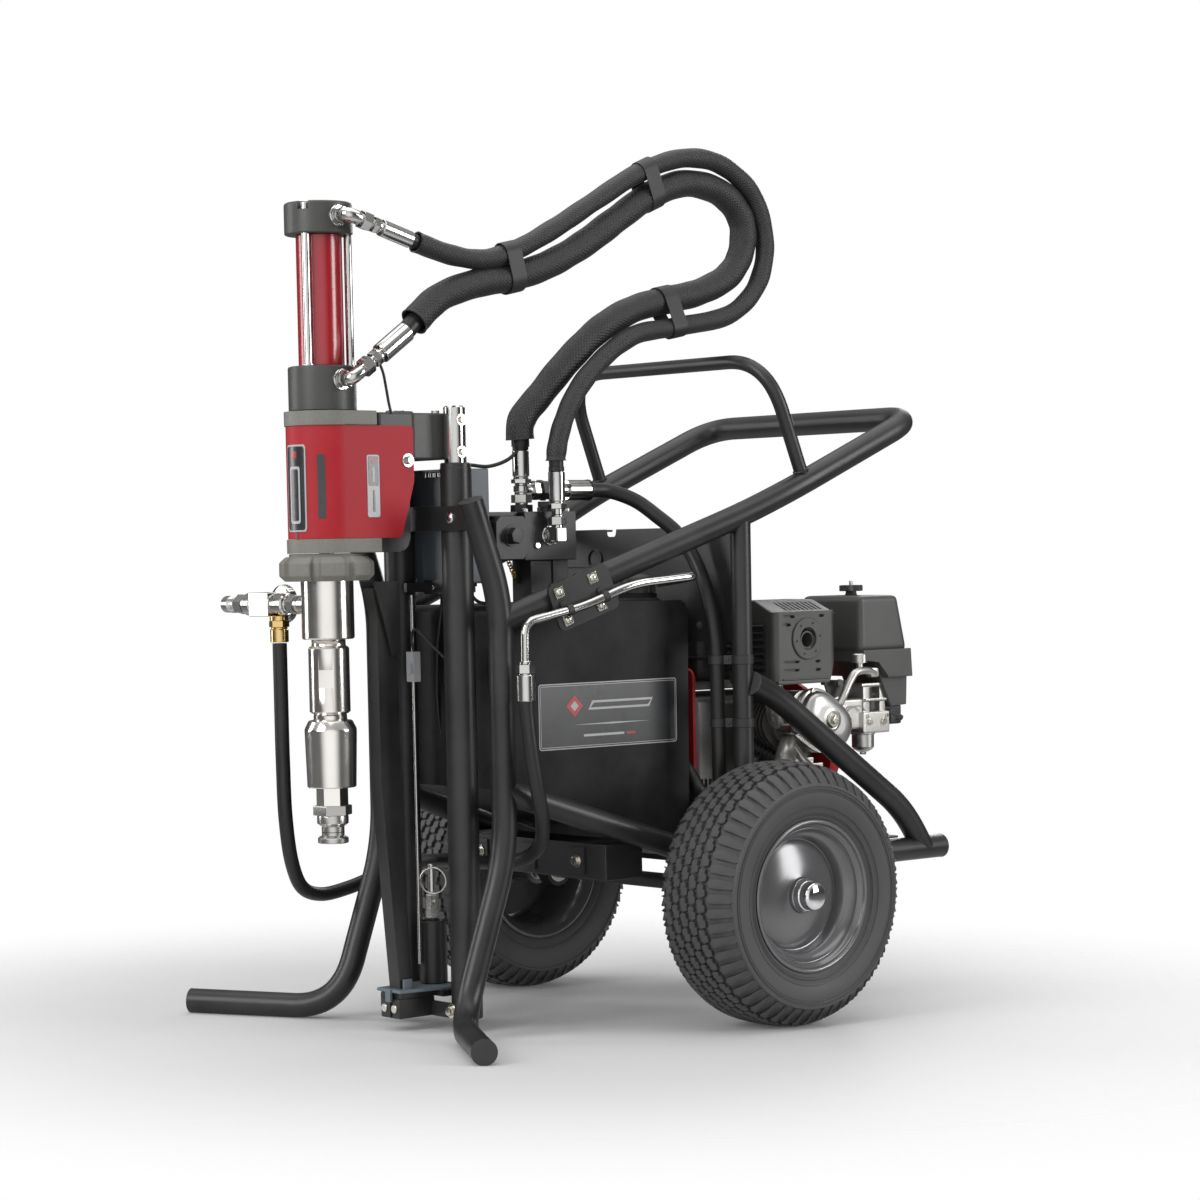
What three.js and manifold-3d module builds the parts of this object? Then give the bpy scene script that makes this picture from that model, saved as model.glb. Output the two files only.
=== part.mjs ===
// Cart-mounted hydraulic airless paint sprayer.
// Millimetres, +Z up, +X towards the right-hand wheel, -Y towards the pump, floor at z = 0.
// The cart stands on its two wheels and two front feet, which tips the whole machine slightly
// nose-down, so every piece is laid out in a machine frame (origin at the axle centre, +Z along
// the mast) and that frame is tipped by RAKE at the end.
import * as THREE from 'three';
import { mergeVertices } from 'three/addons/utils/BufferGeometryUtils.js';
import Module from 'manifold-3d';

const wasm = await Module();
wasm.setup();

// ---------------------------------------------------------------- driving dimensions
const GAP = 0.35;               // clearance between pieces that touch
const RAKE = 0.025;             // nose-down tip of the machine frame, radians
const WHEEL_RADIUS = 203;       // 16 x 6.50-8 tyre
const TYRE_WIDTH = 158;
const TRACK_HALF = 326;         // axle centre to tyre centre plane
const TUBE_R = 19.05;           // main frame tube, 38.1 mm outside diameter
const POST_R = 16;              // rear upright tube
const HOOP_R = 11;              // hose hoop tube
const AXLE_R = 12.5;
const AXLE_HALF = 400;
const TUBE_SIDES = 10;

const LEG_X = 154;              // half distance between the front legs
const LEG_Y = -405;
const HANDLE_X = 245;           // half width of the push handle
const RAIL_X = 225;             // half width of the rear rails
const RAIL_Z = 33;

const GUIDE = { x: 73.3, y: -420.8, outer: 23.75, bore: 18, low: -173, high: 668 };
const SLIDER = { r: 16.85, low: 0, high: 753 };

const PUMP_Y = -610;            // vertical axis shared by the hydraulic motor and fluid section
const CAP = { r: 50.5, low: 1004, high: 1051 };
const BARREL = { r: 34, bore: 25, low: 812, high: 1003.6 };
const MOTOR_BASE = { r: 50.5, low: 745.6, high: 811.6 };
const YOKE = { r: 58, topLow: 724, topHigh: 745.2, bottomLow: 536, bottomHigh: 557 };
const COVER = { r: 56, thick: 2, back: -486, backLow: -511, kink: 640 };
const NUT = { r: 70.5, low: 495, high: 535.6 };
const ROD_R = 11;
const ROD_BORE = 11.5;

const OUTLET_Z = 460;           // side outlet's axis on the fluid section
const TEE = { left: -184, right: -134, half: 17 };
const OUTLET_END = -270;        // face of the spray hose nipple

const ENGINE_AXIS = { x: -20, z: 190 };
const TANK = { half: 130, front: -375, back: -8, top: 452 };
const FILLER = { x: 70, y: -60 };
const PORT_X = 75;              // outboard reach of the motor hose ports
const CLAMP_Y = -273;          // middle of the outlet pipe's clamp plate
const FILTER_KNOB = { x: 120, y: 365 };
const PULL = { x: 30, z: 235 }; // starter rope eyelet

// ---------------------------------------------------------------- geometry helpers
const point = (x, y, z) => new THREE.Vector3(x, y, z);

function toSolid(geometry) {
  const bare = geometry.index ? geometry.toNonIndexed() : geometry.clone();
  bare.deleteAttribute('normal');
  bare.deleteAttribute('uv');
  const merged = mergeVertices(bare, 1e-3);
  return new wasm.Manifold(new wasm.Mesh({
    numProp: 3,
    vertProperties: new Float32Array(merged.attributes.position.array),
    triVerts: new Uint32Array(merged.index.array),
  }));
}

function toGeometry(solid) {
  const mesh = solid.getMesh();
  const indexed = new THREE.BufferGeometry();
  indexed.setAttribute('position', new THREE.BufferAttribute(new Float32Array(mesh.vertProperties), 3));
  indexed.setIndex(new THREE.BufferAttribute(new Uint32Array(mesh.triVerts), 1));
  const flat = indexed.toNonIndexed();
  flat.computeVertexNormals();
  return flat;
}

function join(first, ...others) {
  let solid = toSolid(first);
  for (const other of others) solid = solid.add(toSolid(other));
  return toGeometry(solid);
}

function cut(first, ...others) {
  let solid = toSolid(first);
  for (const other of others) solid = solid.subtract(toSolid(other));
  return toGeometry(solid);
}

// box between two opposite corners
function block(low, high) {
  const size = [0, 1, 2].map((i) => high[i] - low[i]);
  const middle = [0, 1, 2].map((i) => (high[i] + low[i]) / 2);
  return new THREE.BoxGeometry(...size).translate(...middle);
}

// plain cylinder between two points
function rod(from, to, radius, sides = 18) {
  const start = point(...from);
  const end = point(...to);
  const along = end.clone().sub(start);
  const geometry = new THREE.CylinderGeometry(radius, radius, along.length(), sides);
  const turn = new THREE.Quaternion().setFromUnitVectors(point(0, 1, 0), along.clone().normalize());
  return geometry.applyQuaternion(turn).translate(...start.add(end).multiplyScalar(0.5).toArray());
}

// body of revolution about a vertical axis; the profile is a list of [radius, height]
function turned(profile, x, y, sides = 24) {
  const outline = profile.map(([radius, height]) => new THREE.Vector2(radius, height));
  return new THREE.LatheGeometry(outline, sides).rotateX(Math.PI / 2).translate(x, y, 0);
}

// straight runs joined by smooth bends, one bend length for each inner corner
function bentPath(corners, bends) {
  const nodes = corners.map((corner) => point(...corner));
  const path = new THREE.CurvePath();
  let start = nodes[0];
  for (let i = 1; i < nodes.length - 1; i += 1) {
    const bend = Array.isArray(bends) ? bends[i - 1] : bends;
    const entry = nodes[i].clone().add(nodes[i - 1].clone().sub(nodes[i]).setLength(bend));
    const exit = nodes[i].clone().add(nodes[i + 1].clone().sub(nodes[i]).setLength(bend));
    path.add(new THREE.LineCurve3(start, entry));
    path.add(new THREE.QuadraticBezierCurve3(entry, nodes[i], exit));
    start = exit;
  }
  path.add(new THREE.LineCurve3(start, nodes[nodes.length - 1]));
  return path;
}

// round bar of the given radius along a curve
function sweep(curve, radius, steps, sides = TUBE_SIDES) {
  const ring = [];
  for (let i = 0; i < sides; i += 1) {
    const angle = (i / sides) * 2 * Math.PI;
    ring.push(new THREE.Vector2(Math.cos(angle) * radius, Math.sin(angle) * radius));
  }
  return new THREE.ExtrudeGeometry(new THREE.Shape(ring), { steps, extrudePath: curve, bevelEnabled: false });
}

function hoseCurve(stops) {
  return new THREE.CatmullRomCurve3(stops.map((stop) => point(...stop)), false, 'centripetal');
}

// point of the machine frame that lies at the given height over the floor
function overFloor(x, y, height) {
  const rise = height - WHEEL_RADIUS;
  return [x, y * Math.cos(RAKE) + rise * Math.sin(RAKE), rise * Math.cos(RAKE) - y * Math.sin(RAKE)];
}

// ---------------------------------------------------------------- frame tubes
function legPath(side) {
  return bentPath([
    [side * LEG_X, LEG_Y - 52, 610],
    [side * LEG_X, LEG_Y, 462],
    [side * LEG_X, LEG_Y, 80],
    overFloor(side * LEG_X, -491, TUBE_R),
    overFloor(side * 376, -622, TUBE_R),
  ], [50, 60, 80]);
}

function railPath(side) {
  return bentPath([
    [side * LEG_X, LEG_Y, 176],
    [side * 222, 0, RAIL_Z + 1],
    [side * RAIL_X, 60, RAIL_Z],
    [side * RAIL_X, 461, RAIL_Z],
  ], [55, 28]);
}

const HANDLE_CORNERS = [
  [LEG_X, LEG_Y, 430],
  [229, 30, 587],
  [HANDLE_X, 125, 628],
  [HANDLE_X, 390, 738],
];

function handlePath() {
  const mirrored = HANDLE_CORNERS.map(([x, y, z]) => [-x, y, z]).reverse();
  return bentPath([...HANDLE_CORNERS, ...mirrored], [48, 48, 62, 62, 48, 48]);
}

function postPath(side) {
  return bentPath([[side * 227, 18, RAIL_Z + 26], [side * 227, 18, 300], [side * 227, 18, 587]], 10);
}

// a cope tool is the tube grown by the gap, with its flats outside the tube's own corners
const coped = (radius) => (radius + GAP) / Math.cos(Math.PI / TUBE_SIDES);
const legTube = (side, radius = TUBE_R) => sweep(legPath(side), radius, 22);
const railTube = (side, radius = TUBE_R) => sweep(railPath(side), radius, 16);
const handleTube = (radius = TUBE_R) => sweep(handlePath(), radius, 40);
const postTube = (side, radius = POST_R) => sweep(postPath(side), radius, 2);
const legCope = (side) => legTube(side, coped(TUBE_R));
const railCope = (side) => railTube(side, coped(TUBE_R));
const handleCope = () => handleTube(coped(TUBE_R));
const postCope = (side) => postTube(side, coped(POST_R));

const handle = () => cut(handleTube(), legCope(1), legCope(-1));

function hoop() {
  const foot = 636;
  const reach = 203;
  const lean = 0.36;
  const top = [HANDLE_X - 4, 139 - reach * lean, foot + reach * 0.93];
  const corners = [[HANDLE_X, 139, foot], top, [-top[0], top[1], top[2]], [-HANDLE_X, 139, foot]];
  return cut(sweep(bentPath(corners, 88), HOOP_R, 22, 8), handleCope());
}

function rail(side) {
  const saddle = block([side * RAIL_X - 13, -26, -26], [side * RAIL_X + 13, 26, RAIL_Z - 4]);
  const hole = rod([side * (RAIL_X - 40), 0, 0], [side * (RAIL_X + 40), 0, 0], AXLE_R + GAP);
  return cut(join(railTube(side), saddle), hole, legCope(side));
}

const rearPost = (side) => cut(postTube(side), handleCope());

function rearBrace(side) {
  const corners = [
    [side * 227, 18, 322], [side * 226, 84, 298], [side * 226, 372, 100], [side * 226, 418, RAIL_Z],
  ];
  return cut(sweep(bentPath(corners, [42, 44]), TUBE_R, 13), postCope(side), railCope(side));
}

function engineDeck() {
  const top = RAIL_Z + TUBE_R + 4.6;
  const plate = block([-222, 42, top - 4], [222, 365, top]);
  const ribs = [62, 318].map((y) => block([-203, y, 24], [203, y + 24, top - 3]));
  return join(plate, ...ribs);
}

function tankCrossMember() {
  const bar = block([-186, -235, 28], [186, -160, 84]);
  return cut(bar, railCope(1), railCope(-1));
}

function firewallPanel() {
  const plate = block([-208, 17, 385], [208, 19, 566]);
  const notches = [-95, 62].map((x) => block([x, 10, 554], [x + 26, 30, 580]));
  return cut(plate, ...notches);
}

// ---------------------------------------------------------------- mast
function guidePost(side) {
  const { outer, bore, low, high } = GUIDE;
  const wall = [[bore, low], [outer, low], [outer, high - 6], [outer - 2, high], [bore, high], [bore, low]];
  return turned(wall, side * GUIDE.x, GUIDE.y, 20);
}

function sliderPost(side) {
  const { r, low, high } = SLIDER;
  const outline = [[0, low], [r, low], [r, high - 3], [r - 3, high], [0, high]];
  return turned(outline, side * GUIDE.x, GUIDE.y, 18);
}

function mastCrossPlate() {
  const plate = block([-160, GUIDE.y - 30.2, 566], [160, GUIDE.y - GUIDE.outer - GAP, 603]);
  return cut(plate, legCope(1), legCope(-1));
}

function mastBase() {
  const front = GUIDE.y - GUIDE.outer - GAP;
  const foot = block([-24, -512, -171], [24, front, -128]);
  const strap = block([-108, front - 6, -171], [108, front, -148]);
  const shelf = block([-46, front - 1, -136], [46, -398, -128]);
  return join(foot, strap, shelf);
}

function mastBeam() {
  const outline = new THREE.Shape();
  outline.moveTo(-503, -127);
  outline.lineTo(-480, -127);
  outline.lineTo(-490, 120);
  outline.lineTo(-492, 482);
  outline.lineTo(-536, 482);
  outline.lineTo(-528, 440);
  outline.lineTo(-528, 180);
  outline.closePath();
  const width = 26;
  return new THREE.ExtrudeGeometry(outline, { depth: width, bevelEnabled: false })
    .applyMatrix4(new THREE.Matrix4().makeBasis(point(0, 1, 0), point(0, 0, 1), point(1, 0, 0)))
    .translate(-width / 2, 0, 0);
}

function damper() {
  const outline = [[0, -127.5], [21.5, -127.5], [21.5, -30], [18, -26], [7, -26], [7, 44], [0, 44]];
  return turned(outline, -8, GUIDE.y - 1, 24);
}

// ---------------------------------------------------------------- wheels
function tyre(side) {
  const half = TYRE_WIDTH / 2;
  const outline = [
    [105, -58], [118, -66], [140, -half + 2], [165, -half], [192, -64], [WHEEL_RADIUS, -40],
    [WHEEL_RADIUS, 40], [192, 64], [165, half], [140, half - 2], [118, 66], [105, 58], [105, -58],
  ];
  return turned(outline, 0, 0, 28).rotateY(side * Math.PI / 2).translate(side * TRACK_HALF, 0, 0);
}

// deep steel rim: two flanges on a barrel, a dished disc near the outer edge and a hub tube
function rim(side) {
  const hubBore = AXLE_R + GAP;
  const outline = [
    [hubBore, -60], [26, -60], [26, 26], [88, 14], [88, -72], [117, -72], [117, -69.4], [103, -60], [98, -40],
    [98, 40], [103, 60], [117, 69.4], [117, 72], [104, 72], [86, 32], [26, 44], [26, 66], [hubBore, 66],
    [hubBore, -60],
  ];
  return turned(outline, 0, 0, 18).rotateY(side * Math.PI / 2).translate(side * TRACK_HALF, 0, 0);
}

const axle = () => rod([-AXLE_HALF, 0, 0], [AXLE_HALF, 0, 0], AXLE_R);

// ---------------------------------------------------------------- hydraulic motor and fluid section
const motorCap = () => turned([[0, CAP.low], [CAP.r, CAP.low], [CAP.r, CAP.high - 4], [CAP.r - 4, CAP.high],
  [0, CAP.high]], 0, PUMP_Y);

const motorBarrel = () => turned([[BARREL.bore, BARREL.low], [BARREL.r, BARREL.low], [BARREL.r, BARREL.high],
  [BARREL.bore, BARREL.high], [BARREL.bore, BARREL.low]], 0, PUMP_Y);

function motorBase() {
  const { r, low, high } = MOTOR_BASE;
  const outline = [
    [ROD_BORE, low], [r, low], [r, high - 3], [r - 3, high], [ROD_BORE, high], [ROD_BORE, low],
  ];
  const body = turned(outline, 0, PUMP_Y);
  const studs = [-72.6, 17.4, 107.4, 197.4].map((degrees) => {
    const x = 43 * Math.cos(THREE.MathUtils.degToRad(degrees));
    const y = PUMP_Y + 43 * Math.sin(THREE.MathUtils.degToRad(degrees));
    return rod([x, y, high - 5], [x, y, CAP.low - GAP], 6.2, 8);
  });
  return join(body, ...studs);
}

function yokeRing(low, high, back) {
  const outline = new THREE.Shape();
  outline.moveTo(-YOKE.r, back);
  outline.lineTo(-YOKE.r, PUMP_Y);
  outline.absarc(0, PUMP_Y, YOKE.r, Math.PI, 2 * Math.PI, false);
  outline.lineTo(YOKE.r, back);
  outline.closePath();
  const bore = new THREE.Path();
  bore.absarc(0, PUMP_Y, ROD_BORE, 0, 2 * Math.PI, true);
  outline.holes.push(bore);
  return new THREE.ExtrudeGeometry(outline, { depth: high - low, bevelEnabled: false, curveSegments: 12 })
    .translate(0, 0, low);
}

function yokeCasting() {
  const top = yokeRing(YOKE.topLow, YOKE.topHigh, PUMP_Y + 56);
  const bottom = yokeRing(YOKE.bottomLow, YOKE.bottomHigh, PUMP_Y + 60);
  const pillars = [[-40, 22], [40, 22], [0, -40]].map(([x, dy]) => rod(
    [x, PUMP_Y + dy, YOKE.bottomHigh - 2], [x, PUMP_Y + dy, YOKE.topLow + 2], 10, 8));
  return join(top, bottom, ...pillars);
}

// sheet cover bent round the front of the yoke, with two flaps that taper at the back
function yokeCover() {
  const { r, thick, back, backLow, kink } = COVER;
  const outline = new THREE.Shape();
  outline.moveTo(-r, back);
  outline.lineTo(-r, PUMP_Y);
  outline.absarc(0, PUMP_Y, r, Math.PI, 2 * Math.PI, false);
  outline.lineTo(r, back);
  outline.lineTo(r - thick, back);
  outline.lineTo(r - thick, PUMP_Y);
  outline.absarc(0, PUMP_Y, r - thick, 2 * Math.PI, Math.PI, true);
  outline.lineTo(-r + thick, back);
  outline.closePath();
  const low = YOKE.bottomHigh + GAP;
  const sheet = new THREE.ExtrudeGeometry(outline, { depth: YOKE.topLow - GAP - low, bevelEnabled: false,
    curveSegments: 14 }).translate(0, 0, low);
  const wedge = new THREE.Shape();
  wedge.moveTo(back + 1, kink);
  wedge.lineTo(back + 1, low - 1);
  wedge.lineTo(backLow, low - 1);
  wedge.closePath();
  const trim = new THREE.ExtrudeGeometry(wedge, { depth: 200, bevelEnabled: false })
    .applyMatrix4(new THREE.Matrix4().makeBasis(point(0, 1, 0), point(0, 0, 1), point(1, 0, 0)))
    .translate(-100, 0, 0);
  return cut(sheet, trim);
}

function carriageArm() {
  const half = SLIDER.r + GAP;
  const wide = GUIDE.x - half;
  const wall = block([-40, -548, YOKE.bottomLow], [40, -518, 743]);
  const neck = block([-53.5, -530, 674], [53.5, -480, 743]);
  const arm = block([-wide, -485, 674], [wide, -404, 743]);
  const boss = rod([0, -470, 742], [0, -470, 747], 15);
  return join(wall, neck, arm, boss);
}

function castleNut() {
  const { r, low, high } = NUT;
  const outline = [
    [41, low], [r - 5, low], [r, low + 6], [r, high - 12], [r - 14, high - 8], [r - 14, high],
    [ROD_BORE, high], [ROD_BORE, high - 8], [41, high - 8], [41, low],
  ];
  const ring = turned(outline, 0, PUMP_Y, 24);
  const lobes = 8;
  const scallops = [];
  for (let i = 0; i < lobes; i += 1) {
    const angle = ((i + 0.5) / lobes) * 2 * Math.PI;
    const x = Math.cos(angle) * (r + 4);
    const y = PUMP_Y + Math.sin(angle) * (r + 4);
    scallops.push(rod([x, y, low - 1], [x, y, high - 7], 13, 8));
  }
  return cut(ring, ...scallops);
}

// packing cylinder up inside the castle nut, pump cylinder, foot valve and hose coupling
function fluidSection() {
  const outline = [
    [0, 104], [22.5, 104], [22.5, 113], [15, 124], [21.5, 131], [21.5, 146], [27, 146.5], [27, 160],
    [22, 162], [22, 187], [38, 190], [38, 278], [25, 289], [25, 297], [29, 299], [29, 397],
    [25.5, 398], [25.5, 408], [38.5, 408], [38.5, NUT.high - 8.4], [ROD_BORE, NUT.high - 8.4],
    [ROD_BORE, 230], [0, 230],
  ];
  return turned(outline, 0, PUMP_Y, 20);
}

function pistonRod() {
  const outline = [[0, 245], [ROD_R, 245], [ROD_R, 826], [24.6, 826], [24.6, 850], [0, 850]];
  return turned(outline, 0, PUMP_Y, 24);
}

// side outlet: neck, round body, square tee, cap, nut and hose nipple, with a stub for the bypass hose
function outletValve() {
  const neck = rod([-38.9, PUMP_Y, OUTLET_Z], [-110, PUMP_Y, OUTLET_Z], 13);
  const body = rod([-105, PUMP_Y, OUTLET_Z], [TEE.right - 1, PUMP_Y, OUTLET_Z], TEE.half);
  const tee = block([TEE.left, PUMP_Y - TEE.half, OUTLET_Z - TEE.half],
    [TEE.right, PUMP_Y + TEE.half, OUTLET_Z + TEE.half]);
  const cap = rod([TEE.left + 1, PUMP_Y, OUTLET_Z], [-208, PUMP_Y, OUTLET_Z], TEE.half);
  const nut = rod([-214, PUMP_Y, OUTLET_Z], [-234, PUMP_Y, OUTLET_Z], 15, 6);
  const nipple = rod([-207, PUMP_Y, OUTLET_Z], [OUTLET_END, PUMP_Y, OUTLET_Z], 12);
  const stub = rod([-128, PUMP_Y, OUTLET_Z - 14], [-128, PUMP_Y, 402], 11);
  return join(neck, body, tee, cap, nut, nipple, stub);
}

function valveKnob() {
  const face = PUMP_Y + TEE.half + GAP;
  return rod([-150, face, OUTLET_Z], [-150, face + 15, OUTLET_Z], 29, 20);
}

function motorElbow(from, to) {
  const reach = [PORT_X, from[1], from[2]];
  return sweep(bentPath([from, reach, to], 14), 11.5, 10, 10);
}

// ---------------------------------------------------------------- tank, manifold and controls
const tankFloor = (y) => 184 - 0.354 * (y - LEG_Y);

function oilTank() {
  const { half, front, back, top } = TANK;
  const round = 16;
  const outline = new THREE.Shape();
  outline.moveTo(front, tankFloor(front));
  outline.lineTo(back, tankFloor(back));
  outline.lineTo(back, top - round);
  outline.quadraticCurveTo(back, top, back - round, top);
  outline.lineTo(front + round, top);
  outline.quadraticCurveTo(front, top, front, top - round);
  outline.closePath();
  const shell = new THREE.ExtrudeGeometry(outline, { depth: 2 * half, bevelEnabled: false, curveSegments: 6 })
    .applyMatrix4(new THREE.Matrix4().makeBasis(point(0, 1, 0), point(0, 0, 1), point(1, 0, 0)))
    .translate(-half, 0, 0);
  const neck = rod([FILLER.x, FILLER.y, top - 4], [FILLER.x, FILLER.y, top + 10], 30);
  const { x, z } = ENGINE_AXIS;
  const recess = block([x - 55, -98, z - 60], [x + 55, 0, z + 60]);
  return cut(join(shell, neck), recess);
}

const tankCap = () => turned([[0, TANK.top + 10.4], [27, TANK.top + 10.4], [27, TANK.top + 34],
  [22, TANK.top + 42], [0, TANK.top + 42]], FILLER.x, FILLER.y, 20);

function manifold() {
  const main = block([12, -291, 519], [75, -188, 596]);
  const valve = block([15, -349, 522], [78, -290, 592]);
  const column = block([22, -275, TANK.top + 0.4], [68, -205, 520]);
  const riser = rod([45, -272, 595], [45, -272, 690], 13, 16);
  const tee = rod([45, -272, 627], [45, -140, 627], 12, 16);
  const elbow = sweep(bentPath([[74, -243, 558], [96, -243, 558], [96, -243, 660]], 14), 12, 8, 10);
  return join(main, valve, column, riser, tee, elbow);
}

const pressureKnob = () => rod([78.4, -320, 557], [95, -320, 557], 16, 6);

const controlBox = () => block([-52, -396, 496], [68, -352, 644]);

// plate carried on the outer side of the right handle tube, parallel to it
function pipeClamp() {
  const [a, b] = [point(...HANDLE_CORNERS[0]), point(...HANDLE_CORNERS[1])];
  const along = b.clone().sub(a).normalize();
  const out = point(along.y, -along.x, 0).normalize();
  const up = out.clone().cross(along);
  const centre = a.clone().lerp(b, (CLAMP_Y - a.y) / (b.y - a.y))
    .addScaledVector(out, TUBE_R + GAP + 2.5)
    .addScaledVector(up, -13);
  return new THREE.BoxGeometry(112, 74, 5)
    .applyMatrix4(new THREE.Matrix4().makeBasis(along, up, out))
    .translate(...centre.toArray());
}

const OUTLET_PIPE = [
  [201, -397, 345], [201, -396, 424], [208, -300, 446], [220, -221, 475], [224, -100, 489], [196, -78, 491],
  [150, -74, 491],
];

const outletPipe = () => sweep(hoseCurve(OUTLET_PIPE), 6.8, 22, 8);

function hydraulicPump() {
  const { x, z } = ENGINE_AXIS;
  const body = rod([x, -90, z], [x, 30, z], 42);
  const port = rod([x, 14, z], [62, 14, z], 12);
  return join(body, port);
}

// ---------------------------------------------------------------- engine
function driveCoupling() {
  const { x, z } = ENGINE_AXIS;
  return rod([x, 30.5, z], [x, 55.5, z], 26);
}

function engineBlock() {
  const base = RAIL_Z + TUBE_R + 5;
  const crankcase = block([-130, 56, base], [72, 330, 300]);
  const cylinder = block([70, 120, 165], [186, 254, 312]);
  const head = rod([185, 232, 262], [202, 232, 262], 36);
  const carburettor = block([112, 253, 196], [178, 388, 318]);
  return join(crankcase, cylinder, head, carburettor);
}

function muffler() {
  const body = block([85, 114, 314], [200, 251, 434]);
  const outletHole = rod([150, 185, 385], [220, 185, 385], 14);
  return cut(body, outletHole);
}

function airCleaner() {
  const box = block([50, 314, 345], [190, 415, 450]);
  const skirt = block([48, 318, 325], [196, 427, 360]);
  const duct = block([92, 391, 262], [182, 427, 326]);
  return join(box, skirt, duct);
}

function airCleanerKnob() {
  const outline = [[0, 450.4], [9, 450.4], [9, 456], [20, 458], [20, 468], [0, 470]];
  return turned(outline, FILTER_KNOB.x, FILTER_KNOB.y, 16);
}

const fuelTank = () => block([-190, 90, 300.4], [44, 328, 428]);

const fuelCap = () => turned([[0, 428.4], [28, 428.4], [28, 444], [24, 447], [0, 447]], -65, 200, 20);

function recoilStarter() {
  const { x, z } = ENGINE_AXIS;
  const cowl = rod([x, 330.4, z], [x, 396, z], 92, 36);
  const eyelet = rod([PULL.x, 334, PULL.z], [PULL.x, 400, PULL.z], 4, 12);
  return cut(cowl, eyelet);
}

function starterHandle() {
  const rope = rod([PULL.x, 336, PULL.z], [PULL.x, 402, PULL.z], 2.2, 8);
  const grip = rod([PULL.x - 32, 406, PULL.z], [PULL.x + 32, 406, PULL.z], 8, 14);
  return join(rope, grip);
}

// ---------------------------------------------------------------- hoses
const PRESSURE_HOSE = [
  [75, -503, 998], [75, -423, 978], [75, -360, 974], [75, -300, 990], [76, -224, 1026], [77, -140, 1073],
  [78, -44, 1124], [79, 47, 1151], [80, 124, 1145], [81, 190, 1102], [82, 217, 1028], [83, 199, 960],
  [84, 141, 910], [86, 13, 883], [88, -72, 868], [90, -136, 833], [93, -195, 780], [96, -230, 725],
  [96, -243, 680], [96, -243, 661],
];
const RETURN_HOSE = [
  [75, -513, 858.5], [74, -490, 879], [72, -445, 913], [70, -371, 938], [70, -302, 950], [70, -231, 972],
  [70, -160, 1006], [70, -89, 1049], [70, -18, 1090], [70, 61, 1113], [70, 139, 1098], [70, 177, 1058],
  [70, 175, 1010], [70, 147, 972], [70, 85, 943], [70, 20, 928], [68, -51, 912], [66, -120, 880],
  [60, -180, 832], [52, -235, 775], [45.5, -270, 733], [45, -272, 694],
];
const BYPASS_HOSE = [
  [-128, -610, 401], [-128, -610, 330], [-129, -609, 220], [-134, -603, 130], [-150, -582, 60],
  [-176, -545, 18], [-196, -495, 3], [-203, -440, 8], [-196, -392, 22], [-168, -358, 38], [-120, -340, 48],
  [-50, -334, 52], [20, -334, 54], [90, -336, 60], [136, -340, 74], [170, -348, 96], [191, -362, 132],
  [200, -378, 180], [202, -390, 240], [201, -396, 300], [201, -397, 344],
];
const TANK_HOSE = [
  [45, -137.5, 627], [47, -100, 626], [70, -62, 610], [98, -40, 584], [122, -22, 558], [150, -10, 515],
  [178, -8, 457], [193, -8, 392], [196, -8, 330], [195, -3, 285], [186, 5, 240], [160, 11, 208],
  [120, 14, 193], [85, 14, 190], [62.4, 14, 190],
];

// ---------------------------------------------------------------- assembly
function finish(color, roughness, metalness) {
  return new THREE.MeshStandardMaterial({ color, roughness, metalness });
}

const MATERIALS = {
  powderCoat: finish(0x1c1c1b, 0.45, 0.2),
  chrome: finish(0xd8d8d6, 0.12, 1),
  casting: finish(0x8a8981, 0.55, 0.2),
  darkCasting: finish(0x3a3a38, 0.5, 0.3),
  red: finish(0xa5242f, 0.35, 0.1),
  rubber: finish(0x1b1b1b, 0.85, 0),
  sleeve: finish(0x202022, 0.9, 0),
  plastic: finish(0x262626, 0.55, 0),
  greyBox: finish(0x464b50, 0.5, 0.1),
  aluminium: finish(0xa8a8a4, 0.4, 0.8),
  rimPaint: finish(0x55575a, 0.35, 0.6),
};

const machine = new THREE.Group();

function add(name, geometry, material, x = 0, y = 0, z = 0) {
  const mesh = new THREE.Mesh(geometry, MATERIALS[material]);
  mesh.name = name;
  mesh.position.set(x, y, z);
  machine.add(mesh);
}

for (const [label, side] of [['right', 1], ['left', -1]]) {
  add(`leg_${label}`, legTube(side), 'powderCoat');
  add(`rail_${label}`, rail(side), 'powderCoat');
  add(`rear_post_${label}`, rearPost(side), 'powderCoat');
  add(`rear_brace_${label}`, rearBrace(side), 'powderCoat');
  add(`guide_post_${label}`, guidePost(side), 'powderCoat');
  add(`slider_post_${label}`, sliderPost(side), 'chrome');
  add(`tyre_${label}`, tyre(side), 'rubber');
  add(`rim_${label}`, rim(side), 'rimPaint');
}
add('handle_frame', handle(), 'powderCoat');
add('hose_hoop', hoop(), 'powderCoat');
add('engine_deck', engineDeck(), 'powderCoat');
add('tank_cross_member', tankCrossMember(), 'powderCoat');
add('firewall_panel', firewallPanel(), 'powderCoat');
add('mast_cross_plate', mastCrossPlate(), 'powderCoat');
add('mast_base', mastBase(), 'powderCoat');
add('mast_beam', mastBeam(), 'powderCoat');
add('damper_cylinder', damper(), 'powderCoat');
add('axle', axle(), 'chrome');

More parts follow.
